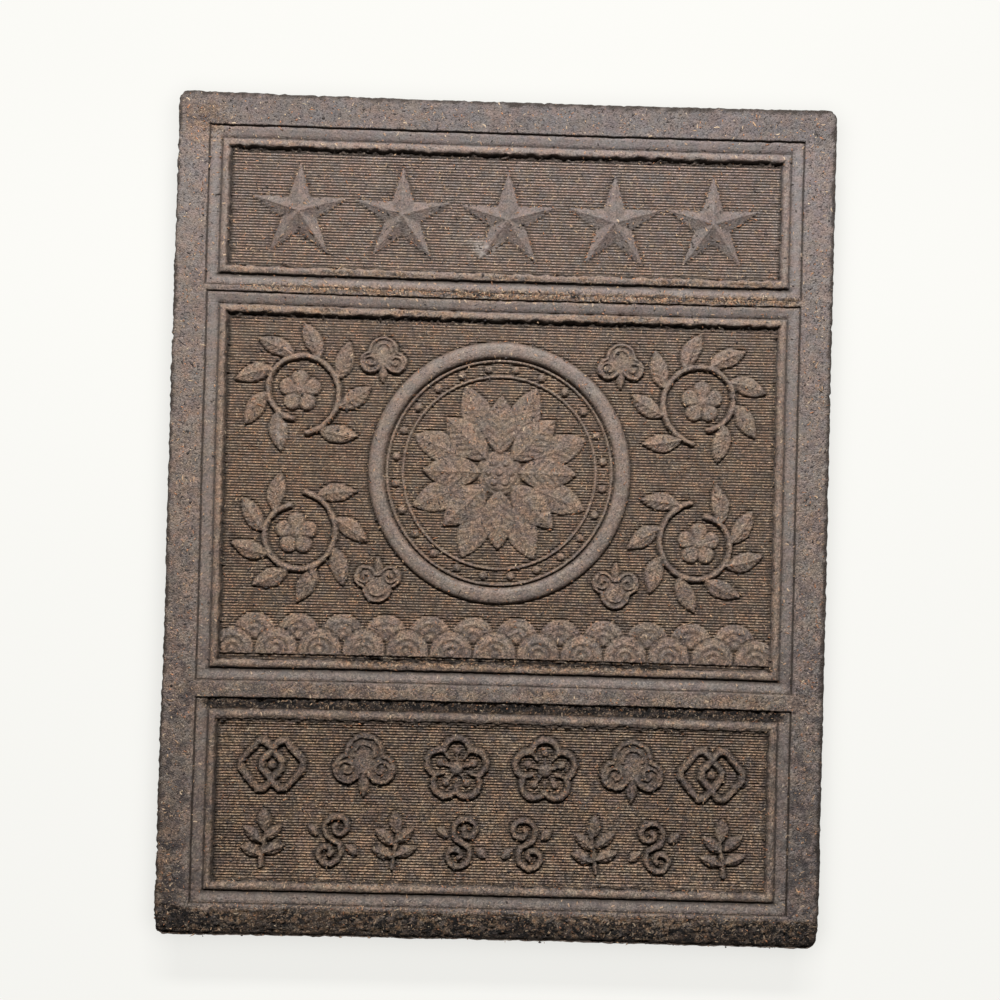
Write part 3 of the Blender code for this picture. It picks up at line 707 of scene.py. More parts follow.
# ------------------------------------------------------------------ the body
def frame_height(X, Y):
    """The border and the stepped frames round the three panels: height below the border's level, how smooth they are
    pressed, looseness, and the painted shade along the creases and under the beads.
    """
    loose = crumbly(X, Y)
    z, crease = np.zeros(X.shape), np.zeros(X.shape)
    smooth = np.full(X.shape, 0.42)
    warm, rag = np.zeros(X.shape), np.zeros(X.shape)
    for x0, y0, x1, y1 in PANELS.values():
        d = np.minimum(np.minimum(X - x0, x1 - X), np.minimum(Y - y0, y1 - Y))
        near = d > -1.2
        z = np.where(near, np.minimum(z, np.interp(d, PROFILE_D, PROFILE_Z)), z)
        deep = 1.3 if y1 < 80 else 1.0
        head = smoothstep(0.55, 0.05, (y1 - Y) - d) * near                # the upper side of a frame, and its lower side
        sill = smoothstep(0.55, 0.05, (Y - y0) - d) * near
        # painted shade in the creases, stronger round the lower panel; fainter on the head side's dip before the bead
        # and on the sill's step line, and deepened into painted shadows under the head bead (weaker in the lower
        # panel), at the inner foot of the left bead and at the outer foot of the sill's bead
        line = deep * np.interp(d, PROFILE_D, PROFILE_SHADE)
        wob = 0.16 * N1(X, Y, 0.9) + 0.12 * N4(X, Y, 0.6)
        line = line * (1 - 0.45 * head * smoothstep(2.6, 3.2, d) * smoothstep(4.6, 4.0, d)) * (1 - 0.50 * sill * smoothstep(1.0, 0.7, d))
        line = np.maximum(line, head * (0.30 if y1 < 80 else 0.95) * smoothstep(5.45, 5.85, d + wob) * smoothstep(6.9, 6.4, d))
        jamb = smoothstep(0.55, 0.05, (X - x0) - d) * near
        line = np.maximum(line, jamb * 0.70 * smoothstep(5.40, 5.90, d + wob) * smoothstep(6.9, 6.4, d))
        line = np.maximum(line, sill * smoothstep(2.98, 3.22, d) * smoothstep(4.10, 3.80, d + 0.6 * wob))
        if y1 < 80:
            z = z + 0.75 * head * smoothstep(5.6, 6.2, d)
        z = z - 0.42 * sill * smoothstep(3.05, 3.35, d) * smoothstep(3.95, 3.62, d)
        crease = np.where(near, np.maximum(crease, np.minimum(line, 1)), crease)
        band = smoothstep(0.5, 0.7, d) * smoothstep(3.3, 3.1, d)
        bead = smoothstep(3.7, 4.2, d) * smoothstep(6.2, 5.7, d)
        rag = np.maximum(rag, smoothstep(4.9, 5.8, d) * smoothstep(7.2, 6.6, d))
        smooth = np.maximum(smooth, np.maximum(0.90 * band, 0.62 * bead))
        warm = np.maximum(warm, bead)
    foot = np.clip(1 - Y / 8.8, 0, 1)
    z = z - 2.7 * foot ** 1.7
    torn = np.exp(-(((Y - 65.2) / 1.5) ** 4)) * smoothstep(10.5, 13, X) * smoothstep(177, 174.5, X)
    z = z - 0.35 * torn
    smooth = smooth * (1 - torn)
    inner = smoothstep(0, 4, np.minimum(np.minimum(X, W - X), np.minimum(Y, L - Y)))
    z = z + 0.06 * N2(X, Y, 14.0) * inner
    return z, smooth * (1 - 0.85 * np.clip(loose - 0.28, 0, 1)), loose, crease, warm, rag


def round_corners(X, Y, r):
    """Moves plan points of the corner squares onto quarter discs."""
    X, Y = X.copy(), Y.copy()
    for sx, cx in ((-1, r), (1, W - r)):
        for sy, cy in ((-1, r), (1, L - r)):
            u, v = (X - cx) * sx / r, (Y - cy) * sy / r
            m = (u > 0) & (v > 0)
            k = np.maximum(u, v) / np.maximum(np.hypot(u, v), 1e-9)
            X = np.where(m, cx + sx * r * u * k, X)
            Y = np.where(m, cy + sy * r * v * k, Y)
    return X, Y


MID = PANELS["middle"]


def frame_lines(at, way):
    """Grid lines across one side of a frame, at the corners of its profile."""
    return [at + way * d for d in PROFILE_D[:-1]] + [at + way * 7.4]


def axis_lines(edges, size, step, fine_foot):
    """Grid lines along one axis: tight at the outline and at every frame side, step apart between."""
    marks = [0, 0.12, 0.36, 0.84, 1.4] + [size - q for q in (0, 0.12, 0.36, 0.84, 1.4)]
    solid = []
    for at, way in edges:
        ln = sorted(frame_lines(at, way))
        solid.append((ln[0], ln[-1]))
        marks += ln
    marks = sorted(marks)
    keep = [marks[0]]
    for m in marks[1:]:
        if m - keep[-1] > 0.05:
            keep.append(m)
    keep[-1] = size
    out = []
    for a, b in zip(keep, keep[1:]):
        out.append(a)
        s = fine_foot if b < edges[0][0] - 0.3 or a > edges[-1][0] + 0.3 else step
        n = int(round((b - a) / s)) if b - a > 1.45 * s else 1
        out += [a + (b - a) * k / n for k in range(1, n)]
    return np.array(out + [size])


def body_object():
    step = 0.84
    xs = axis_lines([(MID[0], 1), (MID[2], -1)], W, step, 0.55)
    ye = [(PANELS["lower"][1], 1), (PANELS["lower"][3], -1), (MID[1], 1), (MID[3], -1), (PANELS["upper"][1], 1), (PANELS["upper"][3], -1)]
    ys = axis_lines(ye, L, step, 0.50)
    GX, GY = np.meshgrid(xs, ys)
    ny, nx = GX.shape
    edge = np.minimum(np.minimum(GX, W - GX), np.minimum(GY, L - GY))
    # the three panels are not quite in line: shift the grid so that its lines follow each frame
    left = np.interp(GY, [0, 68.5, 71, 182.0, 182.8, L], [PANELS["lower"][0] - MID[0]] * 2 + [0.0] * 2 + [PANELS["upper"][0] - MID[0]] * 2)
    right = np.interp(GY, [0, 68.5, 71, 182.0, 182.8, L], [PANELS["lower"][2] - MID[2]] * 2 + [0.0] * 2 + [PANELS["upper"][2] - MID[2]] * 2)
    wl = np.interp(GX, [0, 8, 18, 60], [0, 1, 1, 0])
    wr = np.interp(GX, [127, 168, 179, W], [0, 1, 1, 0])
    GX = GX + left * wl + right * wr
    X, Y = round_corners(GX, GY, CORNER_R)
    z, smooth, loose, crease, bead_warm, rag = frame_height(X, Y)
    # uneven lines: the whole relief is nudged sideways by a few hundredths to a tenth of a millimetre
    ragged = (0.035 + 0.10 * np.clip(loose - 0.2, 0, 1) + 0.04 * crease + 0.13 * rag) * smoothstep(0.0, 2.0, edge)
    z = z + 0.16 * rag * N4(X, Y, 0.6)
    WX = ragged * (N1(X, Y, 0.7) + N2(X, Y, 1.7)) + 0.05 * N3(X, Y, 9.0) * smoothstep(0.0, 3.0, edge)
    WY = ragged * 1.3 * (N4(X, Y, 0.7) + N5(X, Y, 1.7)) + 0.05 * N2(X, Y, 11.0) * smoothstep(0.0, 3.0, edge)
    # rounded upper edge, with painted shade along its rim, a little wider on the right-hand side
    crease = np.maximum(crease, 0.95 * smoothstep(1.25, 0.45, edge - 0.30 * (X > W / 2) + 0.62 * N1(X, Y, 1.0) + 0.40 * N4(X, Y, 2.4)))
    t = np.clip(1 - edge / EDGE, 0, 1)
    z = z - EDGE * (1 - np.sqrt(1 - t ** 2))
    # crumbly outline: chips and grains, fading inwards
    ring = ring_shift(X, Y)
    fade = np.clip(1 - edge / 1.4, 0, 1) ** 1.5
    nxv, nyv = outward(X, Y)
    Xs, Ys = X + WX + nxv * ring * fade, Y + WY + nyv * ring * fade
    z = z - np.clip(-ring - 0.18, 0, 2) * 0.9 * fade
    z = T + z + grain(X, Y, 0.14 + 0.80 * loose) * (1 - 0.6 * np.clip(smooth - 0.4, 0, 1)) - 0.05 * loose
    # cells, with the parts under the plates left out
    cell = np.ones((ny - 1, nx - 1), bool)
    holes = []
    ia, ib = int(np.argmin(abs(xs - MID[0] - 7.4))), int(np.argmin(abs(xs - MID[2] + 7.4)))
    for ya, yb in ((ye[0][0] + 7.4, ye[1][0] - 7.4), (ye[2][0] + 7.4, ye[3][0] - 7.4), (ye[4][0] + 7.4, ye[5][0] - 7.4)):
        ja, jb = int(np.argmin(abs(ys - ya))), int(np.argmin(abs(ys - yb)))
        cell[ja:jb, ia:ib] = False
        z[ja:jb + 1, ia:ib + 1] = T + HIDDEN
        holes.append((ja, jb))
    used = np.zeros((ny, nx), bool)
    used[:-1, :-1] |= cell
    used[1:, :-1] |= cell
    used[:-1, 1:] |= cell
    used[1:, 1:] |= cell
    idx = np.full((ny, nx), -1, np.int64)
    idx[used] = np.arange(used.sum())
    jj, ii = np.nonzero(cell)
    top = np.stack([idx[jj, ii], idx[jj, ii + 1], idx[jj + 1, ii + 1], idx[jj + 1, ii]], 1)
    floors = []
    for ja, jb in holes:
        loop = [idx[ja, i] for i in range(ia, ib)] + [idx[j, ib] for j in range(ja, jb)]
        loop += [idx[jb, i] for i in range(ib, ia, -1)] + [idx[j, ia] for j in range(jb, ja, -1)]
        floors.append([int(q) for q in loop])
    # outline ring, counter-clockwise from the lower left corner
    rj = np.concatenate([np.zeros(nx - 1, int), np.arange(ny - 1), np.full(nx - 1, ny - 1), np.arange(ny - 1, 0, -1)])
    ri = np.concatenate([np.arange(nx - 1), np.full(ny - 1, nx - 1), np.arange(nx - 1, 0, -1), np.zeros(ny - 1, int)])
    ring_top = idx[rj, ri]
    m = len(ring_top)
    bx, by = X[rj, ri], Y[rj, ri]
    ux, uy = outward(bx, by)
    tx, ty, tz = Xs[rj, ri], Ys[rj, ri], z[rj, ri]
    step = np.hypot(np.roll(bx, -1) - bx, np.roll(by, -1) - by)
    arc = np.concatenate([[0], np.cumsum(step)])
    s = arc[:-1]
    rows = 12
    levels = T - EDGE - (T - EDGE - 0.55) * (np.arange(1, rows + 1) / rows) ** 1.12
    sx, sy, sz, ssm, slo = [], [], [], [], []
    for k, lv in enumerate(levels):
        keep = math.exp(-((k + 1) * 0.9))
        rough = 0.16 + 0.30 * keep + 0.12 * smoothstep(4.0, 0.5, lv)
        amp = ring_shift(bx, by) * keep * 0.8
        n = 0.12 * N1(s, np.full(m, lv), 0.8) + 0.10 * N2(s, np.full(m, lv), 2.0) + 0.10 * N3(s, np.full(m, lv), 9.0)
        n = n + 0.08 * N4(s, np.full(m, lv * 0.12), 1.1)     # faint upright drag marks from the mould
        n = n * (0.5 + rough) + amp - 0.10
        sx.append(bx + ux * n)
        sy.append(by + uy * n)
        sz.append(np.full(m, lv) + 0.12 * N2(s, np.full(m, lv), 1.3))
        ssm.append(np.full(m, 0.30) + 0.15 * N3(s, np.full(m, lv), 6.0))
        slo.append(np.full(m, 0.20 + 0.4 * keep))
    # lower edge, then the underside
    for off, lv in ((0.22, 0.16), (0.60, 0.0)):
        n = 0.05 * N1(s, np.full(m, lv), 0.8) - off
        sx.append(bx + ux * n)
        sy.append(by + uy * n)
        sz.append(np.full(m, lv))
        ssm.append(np.full(m, 0.3))
        slo.append(np.full(m, 0.3))
    n_top = int(used.sum())
    count = rows + 2
    allx = np.concatenate([Xs[used]] + sx)
    ally = np.concatenate([Ys[used]] + sy)
    allz = np.concatenate([z[used]] + sz)
    rings = [ring_top] + [n_top + k * m + np.arange(m) for k in range(count)]
    nxt = np.roll(np.arange(m), -1)
    side = np.concatenate([np.stack([rings[k], rings[k + 1], rings[k + 1][nxt], rings[k][nxt]], 1) for k in range(count)])
    side_h = np.concatenate([[T], levels, [0.2, 0.0]])
    # underside: a grid of every fourth line, its rim joined to the fine outline
    q = 4
    qi = sorted(set(list(range(q, nx - 2, q))))
    qj = sorted(set(list(range(q, ny - 2, q))))
    BX, BY = np.meshgrid(xs[qi], ys[qj])
    n_low = len(allx)
    bump = np.zeros(BX.shape)
    allx, ally, allz = np.concatenate([allx, BX.ravel()]), np.concatenate([ally, BY.ravel()]), np.concatenate([allz, bump.ravel()])
    bidx = n_low + np.arange(BX.size).reshape(BX.shape)
    inner = np.stack([bidx[:-1, :-1], bidx[1:, :-1], bidx[1:, 1:], bidx[:-1, 1:]], -1).reshape(-1, 4)
    last = rings[-1]
    of = {(int(a), int(b)): int(last[k]) for k, (a, b) in enumerate(zip(rj, ri))}
    rim_faces = []
    gi, gj = [0] + qi + [nx - 1], [0] + qj + [ny - 1]

    def low(a, b):
        """Index of the underside point at coarse column a, row b, or on the outline."""
        i, j = gi[a], gj[b]
        if i in (0, nx - 1) or j in (0, ny - 1):
            return of[(j, i)]
        return int(bidx[b - 1, a - 1])

    for b in range(len(gj) - 1):
        for a in range(len(gi) - 1):
            if 0 < a < len(gi) - 2 and 0 < b < len(gj) - 2:
                continue
            i0, i1, j0, j1 = gi[a], gi[a + 1], gj[b], gj[b + 1]
            face = [low(a, b)]
            if i0 == 0:
                face += [of[(j, 0)] for j in range(j0 + 1, j1)]
            face.append(low(a, b + 1))
            if j1 == ny - 1:
                face += [of[(ny - 1, i)] for i in range(i0 + 1, i1)]
            face.append(low(a + 1, b + 1))
            if i1 == nx - 1:
                face += [of[(j, nx - 1)] for j in range(j1 - 1, j0, -1)]
            face.append(low(a + 1, b))
            if j0 == 0:
                face += [of[(0, i)] for i in range(i1 - 1, i0, -1)]
            rim_faces.append(face)
    # texture layout: top, then underside, then the sides in two strips
    k_top, k_low = 0.70 / W, 0.285 / W
    uv_top = np.stack([0.004 + allx * k_top, 0.004 + ally * k_top], 1)
    uv_low = np.stack([0.709 + allx * k_low, 0.004 + ally * k_low], 1)
    half = m // 2
    base_s = np.where(np.arange(m) < half, s, s - s[half])
    end_s = np.where(np.arange(m) < half, arc[1:], arc[1:] - s[half])
    strip = np.where(np.arange(m) < half, 0.900, 0.950)
    k_side = 0.99 / 430.0
    side_uv = []
    for k in range(count):
        v0, v1 = strip + side_h[k] * 0.002, strip + side_h[k + 1] * 0.002
        u0, u1 = 0.004 + base_s * k_side, 0.004 + end_s * k_side
        side_uv.append(np.stack([np.stack([u0, v0], 1), np.stack([u0, v1], 1), np.stack([u1, v1], 1), np.stack([u1, v0], 1)], 1))
    side_uv = np.concatenate(side_uv)
    n_b = BX.size
    rest = len(allx) - n_top
    warm = np.clip(0.22 + 1.1 * np.clip(loose - 0.25, 0, 1) + 0.45 * bead_warm, 0, 0.86)
    attrs = {
        "smooth_press": np.concatenate([smooth[used]] + ssm + [np.full(n_b, 0.45)]),
        "loose": np.concatenate([loose[used]] + slo + [np.full(n_b, 0.15)]),
        # painted shade: the top's creases and rim, and the two upper rows of the sides
        "groove_shade": np.concatenate([crease[used], np.full(2 * m, 0.50), np.zeros(rest - 2 * m)]),
        "warm": np.concatenate([warm[used], np.full(rest, 0.35)]),
        "dark": np.concatenate([darkness(X, Y)[used], np.full(rest, 0.15)]),
        "scuff": np.concatenate([scuffs(X, Y)[used], np.zeros(rest)]),
    }
    groups = [
        (top, uv_top[top]),
        (floors, [uv_top[f] for f in floors]),
        (side, side_uv),
        (inner, uv_low[inner]),
        (rim_faces, [uv_low[f] for f in rim_faces]),
    ]
    ob = new_mesh("tea_brick_body", put(allx, ally, allz), groups, attrs)
    return ob, (xs, ys, z)


def outward(X, Y):
    """Unit plan vector away from the brick's inside, turning round the corners."""
    r = CORNER_R
    cx, cy = np.clip(X, r, W - r), np.clip(Y, r, L - r)
    dx, dy = X - cx, Y - cy
    n = np.hypot(dx, dy)
    return np.where(n > 1e-6, dx / np.maximum(n, 1e-9), 0), np.where(n > 1e-6, dy / np.maximum(n, 1e-9), 0)


def ring_shift(X, Y):
    """How far the crumbly outline stands in or out."""
    n = 0.15 * N1(X, Y, 0.6) + 0.14 * N2(X, Y, 1.3) + 0.07 * N3(X, Y, 11.0)
    chips = np.minimum(0, 0.46 - np.abs(N4(X, Y, 1.5) + 0.35 * N5(X, Y, 0.7))) * 0.75
    chips = chips * smoothstep(-0.25, 0.7, N5(X, Y, 23.0) + 0.3)
    return n + chips


# ------------------------------------------------------- stalk and leaf flecks
def flecks(name, count, seed, length, width, thick, plates, body, sides=0, ridge=0, rims=0, stars=0):
    """Slivers of stalk and leaf pressed into the surface, each a small uneven chip with pointed ends."""
    rng = np.random.default_rng(seed)
    xs, ys, zb = body
    x, y = rng.uniform(1.2, W - 1.2, count * 3), rng.uniform(1.2, L - 1.2, count * 3)
    keep = rng.uniform(0, 1, len(x)) < 0.30 + 0.75 * crumbly(x, y)
    x, y = x[keep][:count], y[keep][:count]
    if ridge:                                                # crumbs along the ridge between the upper panels
        low, sill = int(ridge * 0.50), int(ridge * 0.35)     # and along the bottom panel's lower line and the inside of its lower bead
        x = np.concatenate([x, rng.uniform(18, 172, ridge), rng.uniform(12, 176, low), rng.uniform(17, 170, sill)])
        y = np.concatenate([y, 182.5 + rng.normal(0, 0.62, ridge), 8.5 + rng.normal(0, 0.45, low), 15.1 + rng.normal(0, 0.35, sill)])
    rim_from = len(x)
    if rims:                                                 # a few more on the two side borders and along the head
        left, right, head = int(rims * 0.42), int(rims * 0.40), int(rims * 0.18)
        x = np.concatenate([x, rng.uniform(2.2, 8.0, left), rng.uniform(179.0, 184.8, right), rng.uniform(4, 183, head)])
        y = np.concatenate([y, rng.uniform(9, 234, left + right), rng.uniform(229.3, 235.3, head)])
    rim_to = len(x)
    for cx, cy in STARS if stars else ():                    # and along the stars' edges
        k, t = rng.integers(0, 10, stars), rng.uniform(0.05, 0.95, stars)
        r0, r1 = np.where(k % 2, STAR_INNER, 1.0) * STAR_R, np.where(k % 2, 1.0, STAR_INNER) * STAR_R
        a0, a1 = math.pi * (0.5 + k / 5), math.pi * (0.5 + (k + 1) / 5)
        x = np.concatenate([x, cx + (1 - t) * r0 * np.cos(a0) + t * r1 * np.cos(a1) + rng.normal(0, 0.24, stars)])
        y = np.concatenate([y, cy + (1 - t) * r0 * np.sin(a0) + t * r1 * np.sin(a1) + rng.normal(0, 0.24, stars)])
    n = len(x)
    z = np.empty(n)
    i = np.clip(np.searchsorted(xs, x), 1, len(xs) - 1)
    j = np.clip(np.searchsorted(ys, y), 1, len(ys) - 1)
    z[:] = 0.5 * (zb[j, i] + zb[j - 1, i - 1])
    for p in plates.values():
        m = (x > p.x[0] + 0.8) & (x < p.x[-1] - 0.8) & (y > p.y[0] + 0.8) & (y < p.y[-1] - 0.8)
        pi = np.clip(((x[m] - p.x[0]) / p.dx).round().astype(int), 0, len(p.x) - 1)
        pj = np.clip(((y[m] - p.y[0]) / p.dy).round().astype(int), 0, len(p.y) - 1)
        lo = np.maximum.reduce([p.z[pj, pi], p.z[np.clip(pj + 2, 0, len(p.y) - 1), pi], p.z[np.clip(pj - 2, 0, len(p.y) - 1), pi]])
        z[m] = np.maximum(z[m], lo)
    ang = rng.uniform(0, math.pi, n)
    ln = length * rng.lognormal(0, 0.42, n)
    wd = width * rng.lognormal(0, 0.3, n)
    ln[rim_from:rim_to] *= 1.35                              # those on the borders are the coarser ones
    wd[rim_from:rim_to] *= 1.30
    tilt = rng.normal(0, 0.10, n)
    bend = rng.normal(0, 0.03, n)
    ca, sa = np.cos(ang), np.sin(ang)
    skew = rng.uniform(-0.22, 0.22, (2, n))
    pts = []
    for u, v, h in ((-0.5, bend * 2, -0.30), (0.0, -0.5, -0.05), (0.5, bend * 2, -0.30), (0.0, 0.5, -0.05), (0.0, 0.0, 0.45), (0.0, 0.0, -2.2)):
        a = ln * (u + (skew[0] if h == -0.05 and np.all(v == -0.5) else skew[1] if h == -0.05 else 0.0))
        b = wd * v
        pts.append((x + ca * a - sa * b, y + sa * a + ca * b, z + thick * h + tilt * a * 0.5))
    P = np.stack([np.stack(q, 1) for q in pts], 1)           # n, 6, 3
    local = np.array([[0, 1, 4], [1, 2, 4], [2, 3, 4], [3, 0, 4], [1, 0, 5], [2, 1, 5], [3, 2, 5], [0, 3, 5]])
    if sides:                                                # some on the four sides as well
        m = sides
        t = rng.uniform(0, 2 * (W + L) - 24, m)
        zz = rng.uniform(1.0, T - 1.0, m)
        a2 = rng.uniform(0, math.pi, m)
        l2, w2 = length * rng.lognormal(0, 0.4, m), width * rng.lognormal(0, 0.3, m)
        S = np.zeros((m, 6, 3))
        for q in range(m):
            tq = t[q]
            if tq < W - 6:
                o, tv, nv = (3 + tq, 0.0), (1, 0), (0, -1)
            elif tq < W + L - 12:
                o, tv, nv = (W, 3 + tq - (W - 6)), (0, 1), (1, 0)
            elif tq < 2 * W + L - 18:
                o, tv, nv = (W - 3 - (tq - (W + L - 12)), L), (-1, 0), (0, 1)
            else:
                o, tv, nv = (0.0, L - 3 - (tq - (2 * W + L - 18))), (0, -1), (-1, 0)
            c2, s2 = math.cos(a2[q]), math.sin(a2[q])
            loc = [(l2[q] * u, w2[q] * v, thick * h) for u, v, h in ((-0.5, 0, -0.2), (0.1, -0.5, 0), (0.5, 0, -0.2), (-0.1, 0.5, 0), (0, 0, 0.5), (0, 0, -2.4))]
            for r, (a, b, h) in enumerate(loc):
                p, w = c2 * a - s2 * b, s2 * a + c2 * b
                S[q, r] = (o[0] + tv[0] * p + nv[0] * h, o[1] + tv[1] * p + nv[1] * h, np.clip(zz[q] + w, 0.4, T - 0.4))
        P = np.concatenate([P, S])
        n = len(P)
    tri = (local[None] + (6 * np.arange(n))[:, None, None]).reshape(-1, 3)
    # each chip its own spot in the texture layout
    side_n = int(math.ceil(math.sqrt(n)))
    cu, cv = (np.arange(n) % side_n + 0.5) / side_n, (np.arange(n) // side_n + 0.5) / side_n
    luv = np.array([[-0.3, 0], [0, -0.3], [0.3, 0], [0, 0.3], [0.04, 0.04], [-0.06, -0.06]]) / side_n
    UV = (np.stack([cu, cv], 1)[:, None] + luv[None]).reshape(-1, 2)
    co = put(P[..., 0].ravel(), P[..., 1].ravel(), P[..., 2].ravel())
    ob = new_mesh(name, co, [(tri, UV[tri])], {})
    return ob


# ----------------------------------------------------------------- materials
class Nodes:
    """A short way to write a node tree."""

    def __init__(self, name):
        self.mat = bpy.data.materials.new(name)
        self.mat.use_nodes = True
        self.t = self.mat.node_tree
        self.bsdf = self.t.nodes["Principled BSDF"]
        tc = self.t.nodes.new("ShaderNodeTexCoord")
        self.mm = self.vec("SCALE", tc.outputs["Object"], scale=1000.0)

    def link(self, a, b):
        if isinstance(a, bpy.types.NodeSocket):
            self.t.links.new(a, b)
        else:
            b.default_value = a

    def vec(self, op, a, b=None, scale=None):
        n = self.t.nodes.new("ShaderNodeVectorMath")
        n.operation = op
        self.link(a, n.inputs[0])
        if b is not None:
            self.link(b, n.inputs[1])
        if scale is not None:
            n.inputs["Scale"].default_value = scale
        return n.outputs[0]

    def math(self, op, a, b=0.0, c=None, clamp=False):
        n = self.t.nodes.new("ShaderNodeMath")
        n.operation = op
        n.use_clamp = clamp
        self.link(a, n.inputs[0])
        self.link(b, n.inputs[1])
        if c is not None:
            self.link(c, n.inputs[2])
        return n.outputs[0]

    def noise(self, scale, detail=3.0, rough=0.55, vector=None, offset=None, out="Fac"):
        n = self.t.nodes.new("ShaderNodeTexNoise")
        v = vector or self.mm
        if offset:
            v = self.vec("ADD", v, offset)
        self.link(v, n.inputs["Vector"])
        n.inputs["Scale"].default_value = scale
        n.inputs["Detail"].default_value = detail
        n.inputs["Roughness"].default_value = rough
        return n.outputs[out]

    def voronoi(self, scale, vector=None, out="Color", feature="F1", randomness=1.0):
        n = self.t.nodes.new("ShaderNodeTexVoronoi")
        n.feature = feature
        self.link(vector or self.mm, n.inputs["Vector"])
        n.inputs["Scale"].default_value = scale
        n.inputs["Randomness"].default_value = randomness
        return n.outputs[out]

    def turned(self, angle, stretch, offset=(0, 0, 0)):
        """Coordinates turned about Z and stretched along one way, for slivers."""
        n = self.t.nodes.new("ShaderNodeMapping")
        self.link(self.mm, n.inputs["Vector"])
        n.inputs["Location"].default_value = offset
        n.inputs["Rotation"].default_value = (0.35, 0.25, angle)
        n.inputs["Scale"].default_value = (stretch, 1.0, 1.0)
        return n.outputs[0]

    def split(self, colour):
        n = self.t.nodes.new("ShaderNodeSeparateColor")
        self.link(colour, n.inputs[0])
        return n.outputs

    def ramp(self, fac, stops, mode="LINEAR"):
        n = self.t.nodes.new("ShaderNodeValToRGB")
        n.color_ramp.interpolation = mode
        self.link(fac, n.inputs[0])
        el = n.color_ramp.elements
        while len(el) < len(stops):
            el.new(0.5)
        for s, (pos, col) in zip(el, stops):
            s.position = pos
            s.color = (*col, 1.0) if hasattr(col, "__len__") else (col, col, col, 1.0)
        return n.outputs[0]

    def range(self, v, a, b, c=0.0, d=1.0):
        n = self.t.nodes.new("ShaderNodeMapRange")
        n.interpolation_type = "SMOOTHSTEP"
        self.link(v, n.inputs[0])
        for k, q in enumerate((a, b, c, d)):
            n.inputs[k + 1].default_value = q
        return n.outputs[0]

    def mix(self, fac, a, b, blend="MIX"):
        n = self.t.nodes.new("ShaderNodeMix")
        n.data_type = "RGBA"
        n.blend_type = blend
        n.clamp_factor = True
        self.link(fac, n.inputs[0])
        for v, s in ((a, n.inputs[6]), (b, n.inputs[7])):
            self.link(v if isinstance(v, bpy.types.NodeSocket) else (*v, 1.0), s)
        return n.outputs[2]

    def attr(self, name):
        n = self.t.nodes.new("ShaderNodeAttribute")
        n.attribute_name = name
        return n.outputs["Fac"]

    def bump(self, height, distance, strength=1.0, normal=None):
        n = self.t.nodes.new("ShaderNodeBump")
        n.inputs["Strength"].default_value = strength
        n.inputs["Distance"].default_value = distance
        self.link(height, n.inputs["Height"])
        if normal is not None:
            self.link(normal, n.inputs["Normal"])
        return n.outputs[0]


def slivers(k, scale, offset, length, width, depth, chance, loose, spare=0.25):
    """Slivers lying every way in the surface: one to a cell, turned by the cell's own angle. Gives the mask and a random number for each."""
    v = k.t.nodes.new("ShaderNodeTexVoronoi")
    at = k.vec("ADD", k.mm, offset)
    k.link(at, v.inputs["Vector"])
    v.inputs["Scale"].default_value = scale
    c = k.split(v.outputs["Color"])
    delta = k.vec("SUBTRACT", at, v.outputs["Position"])
    s = k.t.nodes.new("ShaderNodeSeparateXYZ")
    k.link(delta, s.inputs[0])
    a = k.math("MULTIPLY", c[0], 6.2832)
    ca, sa = k.math("COSINE", a), k.math("SINE", a)
    u = k.math("ADD", k.math("MULTIPLY", s.outputs[0], ca), k.math("MULTIPLY", s.outputs[1], sa))
    w = k.math("SUBTRACT", k.math("MULTIPLY", s.outputs[1], ca), k.math("MULTIPLY", s.outputs[0], sa))
    ln = k.math("MULTIPLY", k.math("ADD", 0.45, c[2]), length)
    w = k.math("ADD", w, k.math("MULTIPLY", k.math("MULTIPLY", u, u), k.math("SUBTRACT", c[2], 0.5)))   # a slight bow
    e = k.math("POWER", k.math("ABSOLUTE", k.math("DIVIDE", u, ln)), 4.0)
    e = k.math("ADD", e, k.math("POWER", k.math("ABSOLUTE", k.math("DIVIDE", w, width)), 2.0))
    e = k.math("ADD", e, k.math("POWER", k.math("ABSOLUTE", k.math("DIVIDE", s.outputs[2], depth)), 2.0))
    shape = k.range(e, 0.7, 1.2, 1.0, 0.0)
    pick = k.math("LESS_THAN", c[1], k.math("MULTIPLY", k.math("ADD", loose, spare), chance))
    return k.math("MULTIPLY", shape, pick), c[2]


